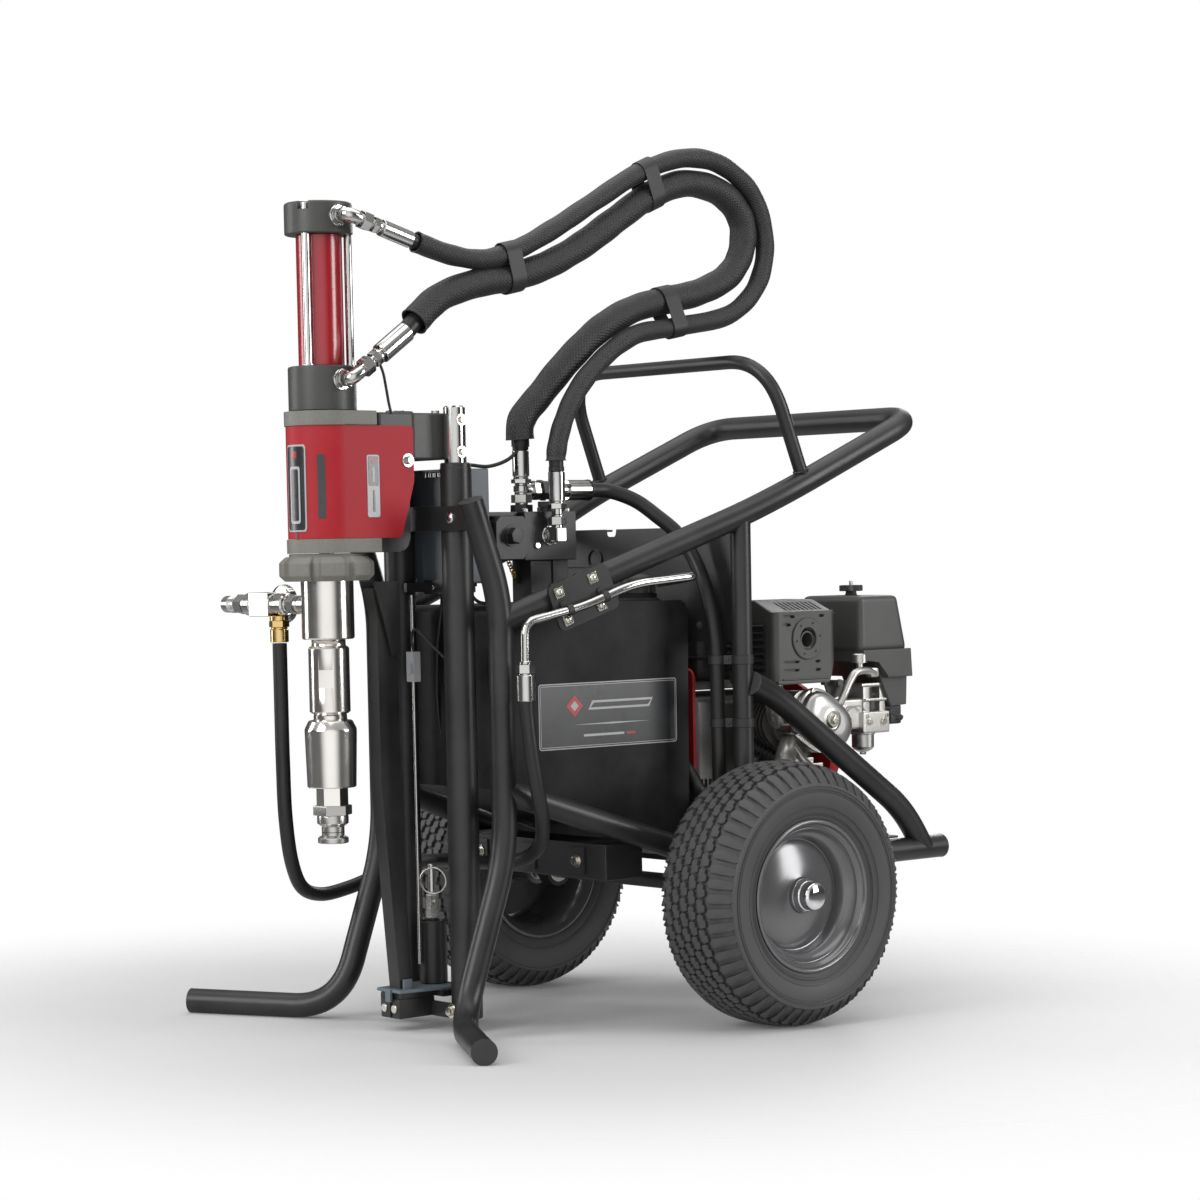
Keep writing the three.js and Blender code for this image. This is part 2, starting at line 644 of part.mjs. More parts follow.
add('motor_cap', motorCap(), 'darkCasting');
add('motor_barrel', motorBarrel(), 'red');
add('motor_base', motorBase(), 'darkCasting');
add('yoke_casting', yokeCasting(), 'casting');
add('yoke_cover', yokeCover(), 'red');
add('carriage_arm', carriageArm(), 'darkCasting');
add('castle_nut', castleNut(), 'casting');
add('fluid_section', fluidSection(), 'chrome');
add('piston_rod', pistonRod(), 'chrome');
add('outlet_valve', outletValve(), 'chrome');
add('outlet_valve_knob', valveKnob(), 'chrome');
add('motor_elbow_upper', motorElbow([50.9, PUMP_Y, 1029], [PORT_X, -504, 999]), 'chrome');
add('motor_elbow_lower', motorElbow([50.9, PUMP_Y, 790], [PORT_X, -517, 855]), 'chrome');

add('oil_tank', oilTank(), 'plastic');
add('tank_cap', tankCap(), 'plastic');
add('manifold_block', manifold(), 'darkCasting');
add('pressure_knob', pressureKnob(), 'darkCasting');
add('control_box', controlBox(), 'greyBox');
add('pipe_clamp', pipeClamp(), 'powderCoat');
add('outlet_pipe', outletPipe(), 'chrome');
add('hydraulic_pump', hydraulicPump(), 'darkCasting');
add('drive_coupling', driveCoupling(), 'aluminium');
add('engine_block', engineBlock(), 'aluminium');
add('muffler', muffler(), 'plastic');
add('air_cleaner', airCleaner(), 'plastic');
add('air_cleaner_knob', airCleanerKnob(), 'plastic');
add('fuel_tank', fuelTank(), 'plastic');
add('fuel_cap', fuelCap(), 'plastic');
add('recoil_starter', recoilStarter(), 'red');
add('starter_handle', starterHandle(), 'plastic');

add('pressure_hose', sweep(hoseCurve(PRESSURE_HOSE), 14, 28, 8), 'sleeve');
add('return_hose', sweep(hoseCurve(RETURN_HOSE), 20, 24, 8), 'sleeve');
add('bypass_hose', sweep(hoseCurve(BYPASS_HOSE), 11, 34, 8), 'sleeve');
add('tank_hose', sweep(hoseCurve(TANK_HOSE), 11.5, 20, 8), 'rubber');

// tip the machine frame onto its feet, then put the origin under the middle of the rigid pieces
machine.rotation.x = RAKE;
machine.position.z = WHEEL_RADIUS;
machine.updateMatrixWorld(true);
const CORDS = ['pressure_hose', 'return_hose', 'bypass_hose', 'tank_hose'];
const bounds = new THREE.Box3();
for (const mesh of machine.children) {
  if (!CORDS.includes(mesh.name)) bounds.expandByObject(mesh, true);
}
const sprayer = new THREE.Group();
sprayer.add(machine);
sprayer.position.set(-(bounds.min.x + bounds.max.x) / 2, -(bounds.min.y + bounds.max.y) / 2, -bounds.min.z);

export default sprayer;
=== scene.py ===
"""Looks for the cart-mounted airless paint sprayer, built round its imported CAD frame.

Every piece is laid out in machine millimetres: origin at the axle centre, X towards the right-hand
wheel, -Y towards the pump, Z along the mast. MACHINE turns them into the row frame's metres.
"""
import math

import bmesh
import bpy
from mathutils import Matrix, Vector


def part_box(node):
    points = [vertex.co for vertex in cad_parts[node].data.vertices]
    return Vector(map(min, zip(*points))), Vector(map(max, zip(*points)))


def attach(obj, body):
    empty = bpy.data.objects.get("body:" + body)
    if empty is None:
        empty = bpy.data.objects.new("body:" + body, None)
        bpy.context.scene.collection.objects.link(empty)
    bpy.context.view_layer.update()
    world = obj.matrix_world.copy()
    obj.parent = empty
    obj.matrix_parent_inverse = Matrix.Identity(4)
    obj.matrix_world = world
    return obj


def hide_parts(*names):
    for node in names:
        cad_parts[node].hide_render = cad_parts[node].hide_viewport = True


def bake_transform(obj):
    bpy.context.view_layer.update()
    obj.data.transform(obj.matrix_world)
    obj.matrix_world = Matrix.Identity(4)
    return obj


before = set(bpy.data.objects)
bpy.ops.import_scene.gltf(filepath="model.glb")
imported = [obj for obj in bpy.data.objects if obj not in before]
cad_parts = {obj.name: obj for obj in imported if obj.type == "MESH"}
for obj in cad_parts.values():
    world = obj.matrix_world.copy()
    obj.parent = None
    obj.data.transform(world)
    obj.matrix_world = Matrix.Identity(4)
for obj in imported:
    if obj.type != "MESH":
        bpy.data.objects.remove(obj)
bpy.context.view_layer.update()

# ------------------------------------------------------------------ driving dimensions, machine mm
RAKE = 0.025
MM = 0.001
axle_low, axle_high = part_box("axle")
MACHINE = (Matrix.Translation((axle_low + axle_high) / 2) @ Matrix.Rotation(RAKE, 4, "X")
           @ Matrix.Scale(MM, 4))

WHEEL_RADIUS = 203
TRACK_HALF = 326
TUBE_R = 19.05
POST_R = 16
HOOP_R = 11
AXLE_R = 12.5
LEG_X = 154
LEG_Y = -405
HANDLE_X = 245
RAIL_X = 225
RAIL_Z = 33
GUIDE_X = 73.3
GUIDE_Y = -420.8
GUIDE_R = 23.75
GUIDE_LOW = -173
GUIDE_HIGH = 668
SLIDER_R = 16.85
SLIDER_HIGH = 753
PUMP_Y = -610
PUMP = (0, PUMP_Y, 0)
TANK_TOP = 452
ENGINE_X = -20
ENGINE_Z = 190
X = Vector((1, 0, 0))
Y = Vector((0, 1, 0))
Z = Vector((0, 0, 1))

PRESSURE_ROUTE = [
    (75, -503, 998), (75, -423, 978), (75, -360, 974), (75, -300, 990), (76, -224, 1026),
    (77, -140, 1073), (78, -44, 1124), (79, 47, 1151), (80, 124, 1145), (81, 190, 1102),
    (82, 217, 1028), (83, 199, 960), (84, 141, 910), (86, 13, 883), (88, -72, 868),
    (90, -136, 833), (93, -195, 780), (96, -230, 725), (96, -243, 680), (96, -243, 661),
]
RETURN_ROUTE = [
    (75, -513, 858.5), (74, -490, 879), (72, -445, 913), (70, -371, 938), (70, -302, 950),
    (70, -231, 972), (70, -160, 1006), (70, -89, 1049), (70, -18, 1090), (70, 61, 1113),
    (70, 139, 1098), (70, 177, 1058), (70, 175, 1010), (70, 147, 972), (70, 85, 943),
    (70, 20, 928), (68, -51, 912), (66, -120, 880), (60, -180, 832), (52, -235, 775),
    (45.5, -270, 733), (45, -272, 694),
]
BYPASS_ROUTE = [
    (-128, -610, 401), (-128, -610, 330), (-129, -609, 220), (-134, -603, 130), (-150, -582, 60),
    (-176, -545, 18), (-196, -495, 3), (-203, -440, 8), (-196, -392, 22), (-168, -358, 38),
    (-120, -340, 48), (-50, -334, 52), (20, -334, 54), (90, -336, 60), (136, -340, 74),
    (170, -348, 96), (191, -362, 132), (200, -378, 180), (202, -390, 240), (201, -396, 300),
    (201, -397, 344),
]
TANK_ROUTE = [
    (45, -137.5, 627), (47, -100, 626), (70, -62, 610), (98, -40, 584), (122, -22, 558),
    (150, -10, 515), (178, -8, 457), (193, -8, 392), (196, -8, 330), (196, -7, 270),
    (196, -6, 192), (187, 0, 153), (162, 8, 136), (130, 13, 147), (104, 14, 174),
    (84, 14, 190), (62.4, 14, 190),
]
OUTLET_ROUTE = [
    (201, -397, 362), (201, -396, 428), (210, -290, 449), (222, -200, 481), (226, -72, 491),
    (140, -76, 480),
]
SHARP = 34.0
SIDES = (("right", 1), ("left", -1))


# ------------------------------------------------------------------ materials
class Tree:
    """A node tree, with short calls for the nodes used here."""

    def __init__(self, owner, coordinates):
        owner.use_nodes = True
        self.tree = owner.node_tree
        self.place = self.add("TexCoord").outputs[coordinates]

    def feed(self, socket, value):
        """Links a socket to another node's output, or sets it to a value."""
        if isinstance(value, bpy.types.NodeSocket):
            self.tree.links.new(value, socket)
        else:
            socket.default_value = value

    def add(self, kind, inputs=(), **settings):
        node = self.tree.nodes.new("ShaderNode" + kind)
        for name, value in settings.items():
            setattr(node, name, value)
        for name, value in dict(inputs).items():
            self.feed(node.inputs[name], value)
        return node

    def math(self, operation, first, second=0.0, third=0.0):
        return self.add("Math", {0: first, 1: second, 2: third}, operation=operation).outputs[0]

    def weigh(self, first, share, second, other):
        """Sum of two values, each times its share."""
        return self.math("ADD", self.math("MULTIPLY", first, share), self.math("MULTIPLY", second, other))


class Nodes(Tree):
    """A material on a Principled shader."""

    def __init__(self, name):
        self.material = bpy.data.materials.new(name)
        super().__init__(self.material, "Object")
        self.shader = self.tree.nodes["Principled BSDF"]

    def set(self, **values):
        for name, value in values.items():
            self.shader.inputs[name.replace("_", " ")].default_value = value

    def noise(self, scale, detail=3.0, place=None):
        return self.add("TexNoise", {"Vector": place or self.place, "Scale": scale, "Detail": detail,
                                     "Roughness": 0.55}).outputs["Fac"]

    def span(self, value, low, high, start=0.3, end=0.7):
        """value from start..end mapped onto low..high."""
        return self.add("MapRange", {"Value": value, "From Min": start, "From Max": end, "To Min": low,
                                     "To Max": high}).outputs["Result"]

    def drive(self, name, value):
        self.tree.links.new(value, self.shader.inputs[name])

    def tint(self, share, first, second, start=0.3, end=0.7):
        """Base colour between two colours, as share goes from start to end."""
        share = self.span(share, 0.0, 1.0, start, end)
        self.drive("Base Color", self.add("Mix", {0: share, 6: first, 7: second},
                                          data_type="RGBA").outputs[2])

    def bump(self, height, strength, distance):
        """height in 0..1 raised by distance, in metres."""
        below = self.shader.inputs["Normal"].links
        inputs = {"Height": height, "Strength": strength, "Distance": distance}
        if below:
            inputs["Normal"] = below[0].from_socket
        self.drive("Normal", self.add("Bump", inputs).outputs["Normal"])


def rgba(red, green, blue):
    return (red, green, blue, 1.0)


def coated(name, color, roughness, grain, grain_height, metallic=0.0, coat=0.0, dust=0.12, spread=0.06,
           gloss=0.5):
    """Painted or moulded surface: fine grain in the relief, slow variation in colour and gloss."""
    made = Nodes(name)
    made.set(Metallic=metallic, Coat_Weight=coat, Coat_Roughness=0.2, Specular_IOR_Level=gloss)
    slow = made.noise(9.0, 5.0)
    lighter = rgba(*[c + (1 - c) * dust * 0.12 for c in color])
    darker = rgba(*[c * (1 - dust) for c in color])
    made.tint(slow, darker, lighter)
    fine = made.noise(grain, 2.0)
    uneven = made.weigh(slow, 0.6, fine, 0.4)
    made.drive("Roughness", made.span(uneven, roughness - spread, roughness + spread))
    made.bump(fine, 0.5, grain_height)
    return made.material


def plated(name, color, roughness, streak=420.0, spread=0.05):
    """Bright metal with faint machining lines and handling haze."""
    made = Nodes(name)
    made.set(Metallic=1.0)
    haze = made.noise(14.0, 6.0)
    stretched = made.add("Mapping", {"Vector": made.place, "Scale": (1.0, 1.0, 9.0)}).outputs["Vector"]
    lines = made.noise(streak, 2.0, place=stretched)
    made.tint(haze, rgba(*[c * 0.9 for c in color]), rgba(*color))
    worn = made.weigh(haze, 0.55, lines, 0.45)
    made.drive("Roughness", made.span(worn, max(0.02, roughness - spread), roughness + spread))
    made.bump(lines, 0.12, 0.00004)
    return made.material


def cast(name, color, roughness, metallic=0.0, scale=260.0, relief=0.0003):
    """Sand-cast surface: two sizes of pitting under paint or bare."""
    made = Nodes(name)
    made.set(Metallic=metallic)
    coarse = made.noise(scale, 4.0)
    fine = made.noise(scale * 4.5, 2.0)
    slow = made.noise(7.0, 4.0)
    made.tint(made.weigh(coarse, 0.5, slow, 0.5), rgba(*[c * 0.82 for c in color]),
              rgba(*[min(1.0, c * 1.12) for c in color]))
    made.drive("Roughness", made.span(fine, roughness - 0.08, roughness + 0.08))
    made.bump(coarse, 0.35, relief)
    made.bump(fine, 0.3, relief * 0.5)
    return made.material


def braided(name, color, pitch, turns):
    """Woven sleeve: two families of crossing helical yarns over the tube's own UV map."""
    made = Nodes(name)
    made.set(Roughness=0.44, Sheen_Weight=0.05, Sheen_Roughness=0.45)
    grid = made.add("SeparateXYZ", {"Vector": made.add("UVMap", uv_map="Along").outputs["UV"]})
    around = made.math("MULTIPLY", grid.outputs["X"], 2 * math.pi * turns)
    along = made.math("MULTIPLY", grid.outputs["Y"], 2 * math.pi / pitch)
    right = made.math("SINE", made.math("ADD", around, along))
    left = made.math("SINE", made.math("SUBTRACT", around, along))
    over = made.math("GREATER_THAN", made.math("SINE", along), 0.0)
    yarn = made.math("MAXIMUM", made.math("MULTIPLY", right, 0.5), made.math("MULTIPLY", left, 0.5))
    weave = made.weigh(made.math("MULTIPLY", right, left), 0.3, yarn, 1.0)
    lifted = made.weigh(weave, 1.0, over, 0.08)
    fray = made.noise(1400.0, 2.0)
    height = made.weigh(made.span(lifted, 0.0, 1.0, -0.5, 0.7), 1.0, fray, 0.25)
    # Base colour follows the yarn height: painted shade in the gaps between the yarns and a painted highlight
    # on their crowns.
    made.tint(height, rgba(*[c * 0.25 for c in color]), rgba(*[c * 1.9 for c in color]), 0.2, 1.0)
    made.bump(height, 0.9, 0.0008)
    return made.material


def rubber(name, color, roughness, grain=700.0, relief=0.00012, dust=0.0):
    """Moulded rubber with fine grain and a pale bloom."""
    made = Nodes(name)
    made.set(Specular_IOR_Level=0.45)
    fine = made.noise(grain, 3.0)
    slow = made.noise(11.0, 5.0)
    made.tint(slow, rgba(*color), rgba(*[c + dust for c in color]))
    made.drive("Roughness", made.span(slow, roughness - 0.07, roughness + 0.07))
    made.bump(fine, 0.4, relief)
    return made.material


POWDER = coated("powder_coat_black", (0.009, 0.009, 0.0087), 0.4, 620.0, 0.00012, coat=0.05)
SHEET_BLACK = coated("sheet_black", (0.010, 0.010, 0.0097), 0.42, 620.0, 0.0001)
PLUG_BLACK = coated("end_plug_black", (0.025, 0.025, 0.025), 0.55, 900.0, 0.0001)
CHROME = plated("chrome", (0.62, 0.615, 0.60), 0.11)
NICKEL = plated("nickel", (0.86, 0.83, 0.79), 0.17, streak=300.0)
STEEL = plated("plain_steel", (0.56, 0.55, 0.53), 0.27)
ZINC = plated("zinc_bolt", (0.72, 0.69, 0.62), 0.22)
BRASS = plated("brass", (0.80, 0.56, 0.24), 0.2)
MIRROR = plated("hub_chrome", (0.86, 0.86, 0.87), 0.05, spread=0.02)
CAST_GREY = cast("casting_grey", (0.185, 0.18, 0.158), 0.5)
CAST_DARK = cast("casting_dark", (0.052, 0.052, 0.05), 0.42, relief=0.00022)
CAST_BLACK = cast("casting_black", (0.014, 0.014, 0.014), 0.4, relief=0.00018)
RED = coated("red_satin", (0.40, 0.012, 0.022), 0.5, 500.0, 0.00008, dust=0.08, gloss=0.3)
RED_GLOSS = coated("red_gloss", (0.34, 0.008, 0.016), 0.2, 300.0, 0.00003, coat=0.6, dust=0.06)
TYRE = rubber("tyre_rubber", (0.058, 0.058, 0.058), 0.58, 520.0, 0.0003, dust=0.012)
SIDEWALL = rubber("tyre_sidewall", (0.042, 0.042, 0.042), 0.47, 900.0, 0.0001, dust=0.012)
RIM = coated("rim_grey_black", (0.15, 0.15, 0.155), 0.2, 900.0, 0.00001, metallic=0.4, coat=0.5, dust=0.04,
             spread=0.02)
SLEEVE = braided("braided_sleeve", (0.012, 0.012, 0.0125), 0.0064, 18)
SLEEVE_WIDE = braided("braided_sleeve_wide", (0.0115, 0.0115, 0.012), 0.0068, 24)
HOSE = rubber("hose_rubber", (0.012, 0.012, 0.012), 0.42)
STRAP = coated("strap_black", (0.016, 0.016, 0.016), 0.5, 1500.0, 0.00015)
TANK = coated("tank_plastic", (0.008, 0.008, 0.008), 0.5, 1100.0, 0.00012, dust=0.2, gloss=0.15)
PLASTIC = coated("moulded_black", (0.028, 0.028, 0.028), 0.46, 1300.0, 0.00012)
COVER_GREY = coated("engine_cover_grey", (0.062, 0.062, 0.06), 0.42, 900.0, 0.0001)
BOX_GREY = coated("box_blue_grey", (0.085, 0.1, 0.118), 0.42, 800.0, 0.00008)
PALE_GREY = coated("connector_grey", (0.36, 0.37, 0.38), 0.45, 900.0, 0.00006)
CLAMP_GREY = coated("clamp_blue_grey", (0.105, 0.135, 0.155), 0.4, 800.0, 0.00008)
ALUMINIUM = cast("cast_aluminium", (0.62, 0.61, 0.58), 0.34, metallic=0.9, scale=320.0, relief=0.00016)
# Darker copy of the cast aluminium, used on the crankcase and the lower cylinder.
ALUMINIUM_DARK = cast("aluminium_darker", (0.20, 0.195, 0.185), 0.42, metallic=0.75, scale=320.0)
ROCKER = plated("rocker_cover", (0.55, 0.545, 0.53), 0.34, streak=500.0)
HOT_STEEL = coated("muffler_sheet", (0.075, 0.075, 0.072), 0.44, 900.0, 0.00008, metallic=0.3)
PLATE_SILVER = coated("plate_silver", (0.46, 0.47, 0.48), 0.35, 900.0, 0.00002)
PLATE_BLACK = coated("plate_black", (0.018, 0.019, 0.021), 0.3, 900.0, 0.00003, coat=0.5)
PLATE_RED = coated("plate_red", (0.42, 0.02, 0.03), 0.35, 900.0, 0.00003, coat=0.4)
WIRE = rubber("wire_black", (0.017, 0.017, 0.017), 0.4)
# Near-black fill: painted shade inside bores, holes and behind slots; also the dummy paint of boolean cutters.
PAINTED_SHADE = coated("painted_shade_inside", (0.004, 0.004, 0.004), 0.8, 300.0, 0.0001)


# ------------------------------------------------------------------ paths
def bent(corners, bends, step=6.0):
    """Straight runs joined by smooth bends, as points step mm apart."""
    nodes = [Vector(corner) for corner in corners]
    points = [nodes[0]]
    for middle, before, after, bend in zip(nodes[1:-1], nodes, nodes[2:], bends):
        entry = middle + (before - middle).normalized() * bend
        leave = middle + (after - middle).normalized() * bend
        run = max(1, round((entry - points[-1]).length / (step * 6)))
        start = points[-1]
        points += [start.lerp(entry, i / run) for i in range(1, run + 1)]
        arc = max(4, round(2 * bend / step))
        for i in range(1, arc + 1):
            t = i / arc
            points.append(entry.lerp(middle, t).lerp(middle.lerp(leave, t), t))
    run = max(1, round((nodes[-1] - points[-1]).length / (step * 6)))
    start = points[-1]
    points += [start.lerp(nodes[-1], i / run) for i in range(1, run + 1)]
    return points


def smooth(stops, samples=8):
    """Centripetal Catmull-Rom curve through the stops, as the CAD model's hoses follow."""
    stops = [Vector(stop) for stop in stops]
    ends = [stops[0] * 2 - stops[1], *stops, stops[-1] * 2 - stops[-2]]
    points = [stops[0]]
    for p0, p1, p2, p3 in zip(ends, ends[1:], ends[2:], ends[3:]):
        t1 = (p1 - p0).length ** 0.5
        t2 = t1 + (p2 - p1).length ** 0.5
        t3 = t2 + (p3 - p2).length ** 0.5
        for i in range(1, samples + 1):
            t = t1 + (t2 - t1) * i / samples
            a1 = p0.lerp(p1, t / t1)
            a2 = p1.lerp(p2, (t - t1) / (t2 - t1))
            a3 = p2.lerp(p3, (t - t2) / (t3 - t2))
            b1 = a1.lerp(a2, t / t2)
            b2 = a2.lerp(a3, (t - t1) / (t3 - t1))
            points.append(b1.lerp(b2, (t - t1) / (t2 - t1)))
    return points


def circle(count, radius, start=0.0):
    """Pairs spaced evenly round a circle, the first at start degrees."""
    turns = [math.radians(start) + 2 * math.pi * n / count for n in range(count)]
    return [(radius * math.cos(turn), radius * math.sin(turn)) for turn in turns]


def ring_path(centre, axis, radius, steps=48):
    """Closed path round a circle about an axis."""
    turn = Z.rotation_difference(Vector(axis).normalized())
    spots = circle(steps, radius)
    return [Vector(centre) + turn @ Vector((a, b, 0)) for a, b in spots + spots[:1]]


def arc2(cx, cy, radius, start, end, steps=8):
    """Outline points on an arc, angles in degrees."""
    return [(cx + radius * math.cos(math.radians(start + (end - start) * i / steps)),
             cy + radius * math.sin(math.radians(start + (end - start) * i / steps)))
            for i in range(steps + 1)]


def rounded(x0, y0, x1, y1, r):
    """Outline of a rectangle with round corners."""
    return (arc2(x1 - r, y0 + r, r, -90, 0, 6) + arc2(x1 - r, y1 - r, r, 0, 90, 6)
            + arc2(x0 + r, y1 - r, r, 90, 180, 6) + arc2(x0 + r, y0 + r, r, 180, 270, 6))


# ------------------------------------------------------------------ mesh building
class Shape:
    """One piece's mesh, gathered in machine millimetres from turned, swept and extruded forms."""

    def __init__(self):
        self.bm = bmesh.new()
        self.uv = self.bm.loops.layers.uv.new("Along")
        self.materials = []

    def paint(self, faces, material):
        if material not in self.materials:
            self.materials.append(material)
        for face in faces:
            face.material_index = self.materials.index(material)
            face.smooth = True
        return faces

    def skin(self, rings, material, closed=False):
        """Walls between rings of equal count, joined back to the first ring or capped at both ends."""
        faces = []
        for low, high in zip(rings, rings[1:] + rings[:closed]):
            count = len(low)
            faces += [self.bm.faces.new((low[i], low[(i + 1) % count], high[(i + 1) % count], high[i]))
                      for i in range(count)]
        if not closed:
            faces += [self.bm.faces.new(rings[0][::-1]), self.bm.faces.new(rings[-1])]
        return self.paint(faces, material)

    def lathe(self, profile, base, axis, material, steps=48, closed=False):
        """Body of revolution; the profile lists (radius, height along the axis)."""
        turn = Z.rotation_difference(Vector(axis).normalized())
        rings = []
        for radius, height in profile:
            spots = circle(steps, radius) if radius > 1e-6 else [(0, 0)]
            rings.append([self.bm.verts.new(Vector(base) + turn @ Vector((a, b, height))) for a, b in spots])
        faces = []
        for low, high in zip(rings, rings[1:] + rings[:closed]):
            for i in range(steps):
                j = (i + 1) % steps
                quad = [low[i % len(low)], low[j % len(low)], high[j % len(high)], high[i % len(high)]]
                corners = list(dict.fromkeys(quad))
                if len(corners) > 2:
                    faces.append(self.bm.faces.new(corners))
        return self.paint(faces, material)

    def pin(self, base, axis, radius, low, high, material, steps=32):
        """Plain round bar between two heights along the axis."""
        self.lathe([(0, low), (radius, low), (radius, high), (0, high)], base, axis, material, steps)

    def collar(self, base, axis, inner, outer, low, high, material, steps=48, taper=0.0):
        """Plain ring between two heights along the axis, its outside edges drawn in by taper."""
        self.lathe([(inner, low), (outer, low + taper), (outer, high - taper), (inner, high)], base, axis,
                   material, steps, closed=True)

    def sweep(self, points, radius, material, sides=24, caps=True, radii=None):
        """Round bar or hose along the points, with its length and turn kept as UVs."""
        points = [Vector(p) for p in points]
        tangents = [(b - a).normalized() for a, b in zip(points, points[1:])]
        between = [(a + b).normalized() for a, b in zip(tangents, tangents[1:])]
        tangents = [tangents[0], *between, tangents[-1]]
        normal = tangents[0].orthogonal().normalized()
        rings, lengths = [], [0.0]
        for i, (place, tangent) in enumerate(zip(points, tangents)):
            if i:
                normal = (normal - tangent * normal.dot(tangent)).normalized()
                lengths.append(lengths[-1] + (place - points[i - 1]).length)
            side = tangent.cross(normal)
            r = radii[i] if radii else radius
            rings.append([self.bm.verts.new(place + normal * a + side * b) for a, b in circle(sides, r)])
        faces = []
        for n, (low, high) in enumerate(zip(rings, rings[1:])):
            for i in range(sides):
                j = (i + 1) % sides
                face = self.bm.faces.new((low[i], low[j], high[j], high[i]))
                spots = ((i, n), (i + 1, n), (i + 1, n + 1), (i, n + 1))
                for loop, (k, m) in zip(face.loops, spots):
                    loop[self.uv].uv = (k / sides, lengths[m] * MM)
                faces.append(face)
        if caps:
            faces += [self.bm.faces.new(rings[0][::-1]), self.bm.faces.new(rings[-1])]
        return self.paint(faces, material)

    def curve(self, stops, radius, material, sides, samples=8):
        """Round wire or tube along a smooth line through the stops."""
        return self.sweep(smooth(stops, samples), radius, material, sides)

    def hexahedron(self, corners, material, bevel=0.0, segments=2):
        """Box-like solid from eight corners: four below, four above, in the same turn."""
        verts = [self.bm.verts.new(Vector(c)) for c in corners]
        walls = [(3, 2, 1, 0), (4, 5, 6, 7)] + [(i, (i + 1) % 4, (i + 1) % 4 + 4, i + 4) for i in range(4)]
        faces = [self.bm.faces.new([verts[i] for i in wall]) for wall in walls]
        return self.soften(faces, material, bevel, segments)

    def slab(self, corners, low, high, material, bevel=0.0):
        """Solid between a four-cornered face moved by low and the same face moved by high."""
        self.hexahedron([c + low for c in corners] + [c + high for c in corners], material, bevel)

    def box(self, low, high, material, bevel=0.0, segments=2):
        (x0, y0, z0), (x1, y1, z1) = low, high
        flat = [(x0, y0), (x1, y0), (x1, y1), (x0, y1)]
        corners = [(x, y, z0) for x, y in flat] + [(x, y, z1) for x, y in flat]
        return self.hexahedron(corners, material, bevel, segments)

    def prism(self, outline, origin, across, up, depth, material, bevel=0.0, segments=2, both=True):
        """Outline in the plane of across and up, extruded along their cross product."""
        across, up = Vector(across).normalized(), Vector(up).normalized()
        out = across.cross(up)
        place = [Vector(origin) + across * a + up * b for a, b in outline]
        low = [self.bm.verts.new(p) for p in place]
        high = [self.bm.verts.new(p + out * depth) for p in place]
        faces = self.skin([low, high], material)
        bottom, top = faces[-2:]
        rims = list(top.edges) + (list(bottom.edges) if both else [])
        return self.soften(faces, material, bevel, segments, rims)

    def soften(self, faces, material, bevel, segments, edges=None):
        """Rounds the given edges of the faces, or all of them."""
        self.paint(faces, material)
        if bevel:
            edges = edges or list({edge for face in faces for edge in face.edges})
            made = bmesh.ops.bevel(self.bm, geom=edges, offset=bevel, segments=segments, profile=0.6,
                                   affect="EDGES", clamp_overlap=True, loop_slide=True, material=-1)
            self.paint(made["faces"], material)
        return faces

    def hexagon(self, base, axis, across, height, material, bevel=0.7, turn=0.0):
        """Hexagon bar, across between its flats, standing on base along the axis."""
        axis = Vector(axis).normalized()
        side = axis.orthogonal().normalized()
        outline = circle(6, across / 2 / math.cos(math.pi / 6), turn)
        self.prism(outline, base, side, axis.cross(side), height, material, bevel)

    def bolt(self, base, axis, across, material, washer=True, height=None):
        """Hex head with a chamfer, over a washer."""
        axis = Vector(axis).normalized()
        height = height or across * 0.55
        lift = 0.0
        if washer:
            lift = across * 0.14
            self.disc(base, axis, across * 0.95, lift, material)
        self.hexagon(Vector(base) + axis * lift, axis, across, height, material, bevel=across * 0.07)

    def disc(self, base, axis, radius, height, material, bevel=0.4, steps=32):
        """Round bar with its far edge broken."""
        bevel = min(bevel, height * 0.45, radius * 0.4)
        self.lathe([(0, 0), (radius, 0), (radius, height - bevel), (radius - bevel, height), (0, height)],
                   base, axis, material, steps)

    def dome(self, base, axis, radius, height, material, washer=0.0):
        """Round-headed bolt, with an optional washer radius under it."""
        lift = 0.0
        if washer:
            lift = 1.6
            self.disc(base, axis, washer, lift, material)
        profile = [(0, lift), (radius, lift)]
        profile += [(radius * math.cos(math.radians(a)),
                     lift + 0.8 + (height - 0.8) * math.sin(math.radians(a)))
                    for a in range(0, 90, 15)]
        self.lathe([*profile, (0, lift + height)], base, axis, material, 28)

    def socket(self, base, axis, radius, height, material):
        """Cap screw with a hexagon socket."""
        hole = radius * 0.52
        self.lathe([(0, 0), (radius, 0), (radius, height - 0.6), (radius - 0.6, height), (hole, height),
                    (hole, height * 0.4), (0, height * 0.4)], base, axis, material, 24)

    def chain(self, base, axis, links):
        """Lengths end to end: turned (radius, length, material) or ("hex", across flats, length, material)."""
        place, axis = Vector(base), Vector(axis).normalized()
        for *hexagonal, size, length, material in links:
            if hexagonal:
                self.hexagon(place, axis, size, length, material, bevel=min(size * 0.04, length * 0.3))
            else:
                edge = min(0.9, length * 0.25, size * 0.3)
                self.lathe([(0, 0), (size - edge, 0), (size, edge), (size, length - edge),
                            (size - edge, length), (0, length)], place, axis, material, 40)
            place = place + axis * length
        return place

